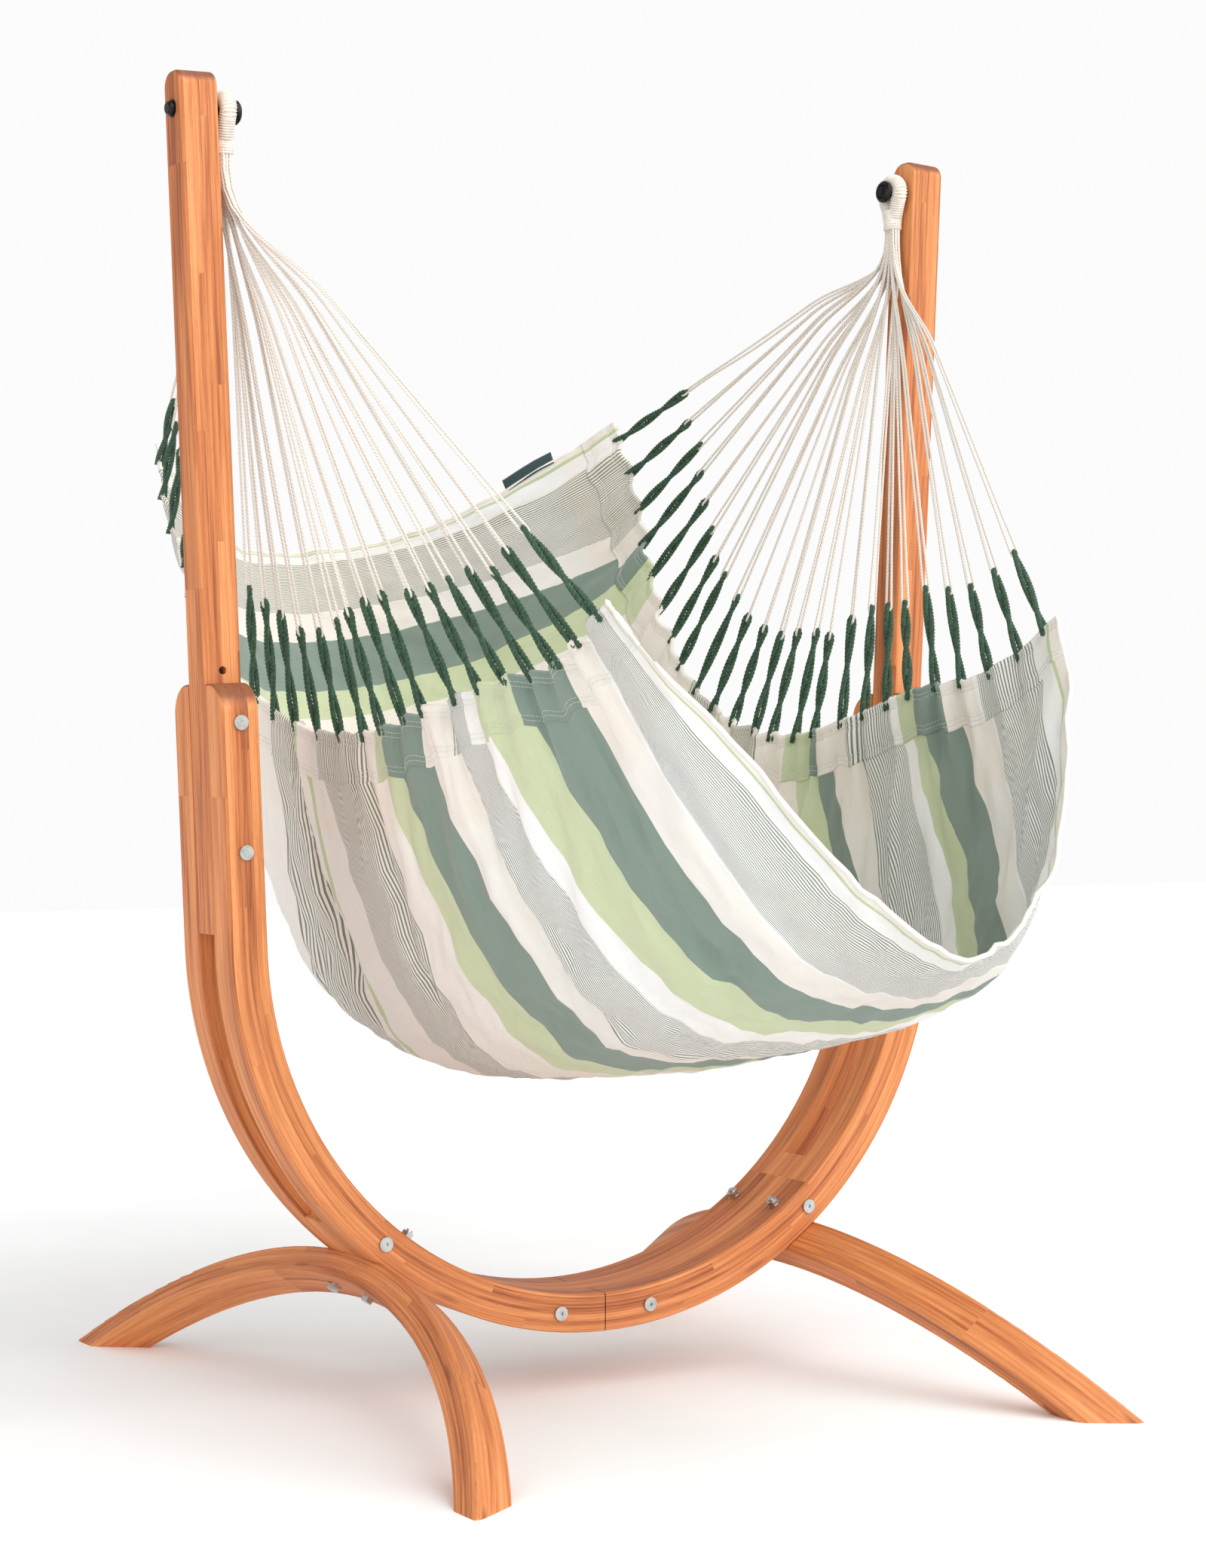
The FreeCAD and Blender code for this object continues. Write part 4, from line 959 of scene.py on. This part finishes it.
def hang(word):
    side = sides[word]
    rim = hemTools[word][0](0.004)[0]
    rnd = random.Random(5 if side < 0 else 9)
    loops = cloth["loops"]
    ropes = []
    cordStore = ([], [], [])
    for i in range(loops):
        share = (i + 0.5) / loops
        hem = readOff(share, shareV, rim)
        along = unit(readOff(min(share + 0.01, 1), shareV, rim) - readOff(share - 0.01, shareV, rim))
        row, column = divmod(i, 4)
        spread = suspension["neckSpread"]
        neck = np.array([side * suspension["eyeX"] + (column - 1.5) * spread, (row - 2.5) * spread,
                         suspension["eyeZ"] - suspension["neckDrop"]])
        run = unit(neck - hem)
        long = suspension["ropeLong"] * rnd.uniform(0.93, 1.05)
        tip = hem + run * long
        # the rope's two legs turn about each other on the way up
        face = unit(np.cross(run, along))
        turn = rnd.uniform(0, math.pi)
        twistOver = rnd.uniform(4.0, 7.0)
        legs = []
        for sign in (1, -1):
            leg = []
            for t in np.linspace(0, 1, 13):
                a = turn + twistOver * t
                gap = suspension["ropeGap"] * (1.0 - 0.15 * t)
                leg.append(hem - run * suspension["tuck"] * (1 - t) + run * (long - 0.007) * t
                           + sign * gap * (math.cos(a) * along + math.sin(a) * face))
            legs.append(leg)
        ropes.append(bend(legs[0] + [tip] + legs[1][::-1], 70))
        # a bight of cream cord passes through the rope loop
        a = turn + twistOver
        cross = math.cos(a) * face - math.sin(a) * along
        gap = suspension["cordGap"]
        low = tip - run * 0.011
        far = np.linalg.norm(neck - tip)
        bundle = neck + np.array([0, 0, suspension["neckDrop"] - suspension["bundleTop"]])
        eyeMiddle = np.array([side * suspension["eyeX"], 0])
        bundle[:2] = eyeMiddle + (neck[:2] - eyeMiddle) * 1.05
        sag = rnd.uniform(0.0, 0.010) if rnd.random() < 0.3 else rnd.uniform(0.0, 0.003)
        halves = []
        for sign in (1, -1):
            lift = np.array([rnd.uniform(-0.0012, 0.0012), rnd.uniform(-0.0012, 0.0012), 0])
            drop = np.array([0, 0, -sag * (1.0 if sign > 0 else 0.4)])
            offset = sign * gap * cross
            halves.append([low + offset * 0.55, low + run * 0.009 + offset,
                           low + run * 0.05 + offset * 0.8,
                           low + run * far * 0.35 + offset * 0.55 + drop * 0.8,
                           low + run * far * 0.65 + offset * 0.35 + drop * 0.8,
                           neck + lift + sign * 0.0007 * cross,
                           bundle + lift])
        up = bend(halves[0][::-1], 26)
        down = bend(halves[1], 26)
        turnRound = bend([halves[0][1], halves[0][0], low - run * 0.0026, halves[1][0], halves[1][1]], 9)
        full = np.concatenate([up[:-2], turnRound[1:-1], down[2:]])
        addTube(cordStore, full, suspension["cordRadius"], 6)
    rope = grow(word + "_rope_loops", ropes, winding, {
        "Strands": 3, "Coil Radius": suspension["ropeCoil"], "Pitch": suspension["ropePitch"],
        "Cord Radius": suspension["ropeStrand"], "Step": 0.0026, "Sides": 6, "Material": greenRope},
        "hammock")
    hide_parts(word + "_hem_loops")
    cords = makePiece(word + "_fan_cords", *cordStore)
    settle(cords, "hammock", creamCord)
    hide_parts(word + "_cords")


for word in sides:
    hang(word)
print("ropes and cords hung")


# eyes: a thick ring of wound cord that closes into a bound neck

eyeWrap = {
    "ringRadius": 0.0195, "coil": 0.0105, "cord": 0.0019, "pitch": 0.0039, "neckCoil": 0.0138,
    "neckFrom": 0.030, "neckTo": 0.062, "wide": 1.10,
}


def broaden(piece, middle):
    # stretch a mesh along the pin
    for vert in piece.data.vertices:
        vert.co.x = middle + (vert.co.x - middle) * eyeWrap["wide"]


def makeEye(word):
    side = sides[word]
    pin = np.array([side * suspension["eyeX"], 0, suspension["eyeZ"]])
    tiltAxis = np.array([0, 1.0, 0])
    down = np.array([0, 0, -1.0])
    r = eyeWrap["ringRadius"]
    loop = []
    for a in np.linspace(math.radians(-128), math.radians(128), 30):
        loop.append(pin + r * (math.sin(a) * tiltAxis - math.cos(a) * down))
    legs = [[pin + sign * 0.0095 * tiltAxis + down * 0.029, pin + sign * 0.0060 * tiltAxis + down * 0.040]
            for sign in (-1, 1)]
    ringPath = bend([legs[0][1], legs[0][0]] + loop[::3] + [legs[1][0], legs[1][1]], 90)
    neckPath = bend([pin + down * k for k in (eyeWrap["neckFrom"], 0.048, eyeWrap["neckTo"])], 20)
    core = ([], [], [])
    addTube(core, ringPath, eyeWrap["coil"] - 0.0002, 14)
    wide = np.interp(np.linspace(0, 1, 20), [0, 0.5, 1], [0.0160, 0.0148, 0.0134])
    addTube(core, neckPath, wide, 14)
    piece = makePiece(word + "_eye_core", *core)
    broaden(piece, pin[0])
    settle(piece, "hammock", creamWrap)
    values = {"Strands": 1, "Coil Radius": eyeWrap["coil"], "Pitch": eyeWrap["pitch"],
              "Cord Radius": eyeWrap["cord"], "Step": 0.0003, "Sides": 6, "Material": creamWrap}
    wrap = grow(word + "_eye_wrap", [ringPath], winding, values, "hammock")
    broaden(wrap, pin[0])
    neckValues = {**values, "Coil Radius": eyeWrap["neckCoil"]}
    grow(word + "_neck_wrap", [neckPath], winding, neckValues, "hammock")
    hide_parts(word + "_eye")


for word in sides:
    makeEye(word)
print("eyes wound")


# stitching on the hems and edges

stitches = {"pitch": 0.0056, "long": 0.0040, "thread": 0.00042, "proud": 0.0006}


def sew(name, rows):
    grow(name, rows, stitching, {
        "Pitch": stitches["pitch"], "Length": stitches["long"], "Thickness": stitches["thread"],
        "Material": whiteThread}, "hammock")


for word in sides:
    at = hemTools[word][0]
    rows = []
    for d in hemFold["lines"]:
        spot, out = at(d)
        for face in (1, -1):
            rows.append(spot[3:-3] + out[3:-3] * face * (stitchedHeight(d) + stitches["proud"]))
    sew(word + "_hem_stitches", rows)
rows = []
for column, inner in ((0, 6), (grid.shape[1] - 1, grid.shape[1] - 7)):
    line = grid[8:-8, (column + inner) // 2]
    out = normals[8:-8, (column + inner) // 2]
    for face in (1, -1):
        rows.append(line + out * face * (cloth["thick"] / 2 + 0.0003))
sew("edge_stitches", rows)
print("stitches sewn")


# plain tag sewn to the back edge

# "cell" is the length of cloth edge that one grid row is taken as
tag = {"wide": 0.072, "deep": 0.026, "share": 0.92, "thick": 0.0012, "sewn": 0.004, "cell": 0.0155}


def makeTag():
    row = (grid.shape[0] - 1) * tag["share"]
    line = grid[:, -1]
    low = int(row)
    run = unit(line[low + 3] - line[low - 3])
    inward = grid[low, -1] - grid[low, -3]
    up = unit(inward - np.dot(inward, run) * run)
    normal = unit(np.cross(run, up))
    cells, uv = [], []
    for a in np.linspace(0, 1, 25):
        spine = readOff(row + (a - 0.5) * tag["wide"] / tag["cell"], np.arange(len(line)), line)
        cells.append([spine + up * (b * tag["deep"] - tag["sewn"])
                      + normal * 0.0022 * math.sin(b * 2.2 + a * 2) for b in np.linspace(0, 1, 9)])
        uv.append([(a * tag["wide"], b * tag["deep"]) for b in np.linspace(0, 1, 9)])
    verts, faces, uvs = closeSheet(np.array(cells), np.array(uv), tag["thick"])
    s = Shader("tag_fabric", Roughness=0.8, Sheen_Weight=0.2)
    across, tall, _ = s.uv()
    ribs = s.math("SINE", s.times(across, 2 * math.pi / 0.0009))
    picks = s.math("SINE", s.times(tall, 2 * math.pi / 0.0007))
    weave = s.times(ribs, picks)
    fuzz = s.noise(s.vector(s.times(across, 400.0), s.times(tall, 700.0)), 1.0, 3.0)
    shade = s.plus(s.times(weave, 0.12), fuzz)
    colour = s.ramp(shade, [(0.3, linear(30, 54, 56)), (0.7, linear(48, 76, 78))])
    s.bump(shade, 0.0003, 0.7)
    piece = makePiece("plain_side_tag", verts, faces, uvs)
    settle(piece, "hammock", s.finish(colour))
    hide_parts("side_label")


makeTag()
print("tag sewn")
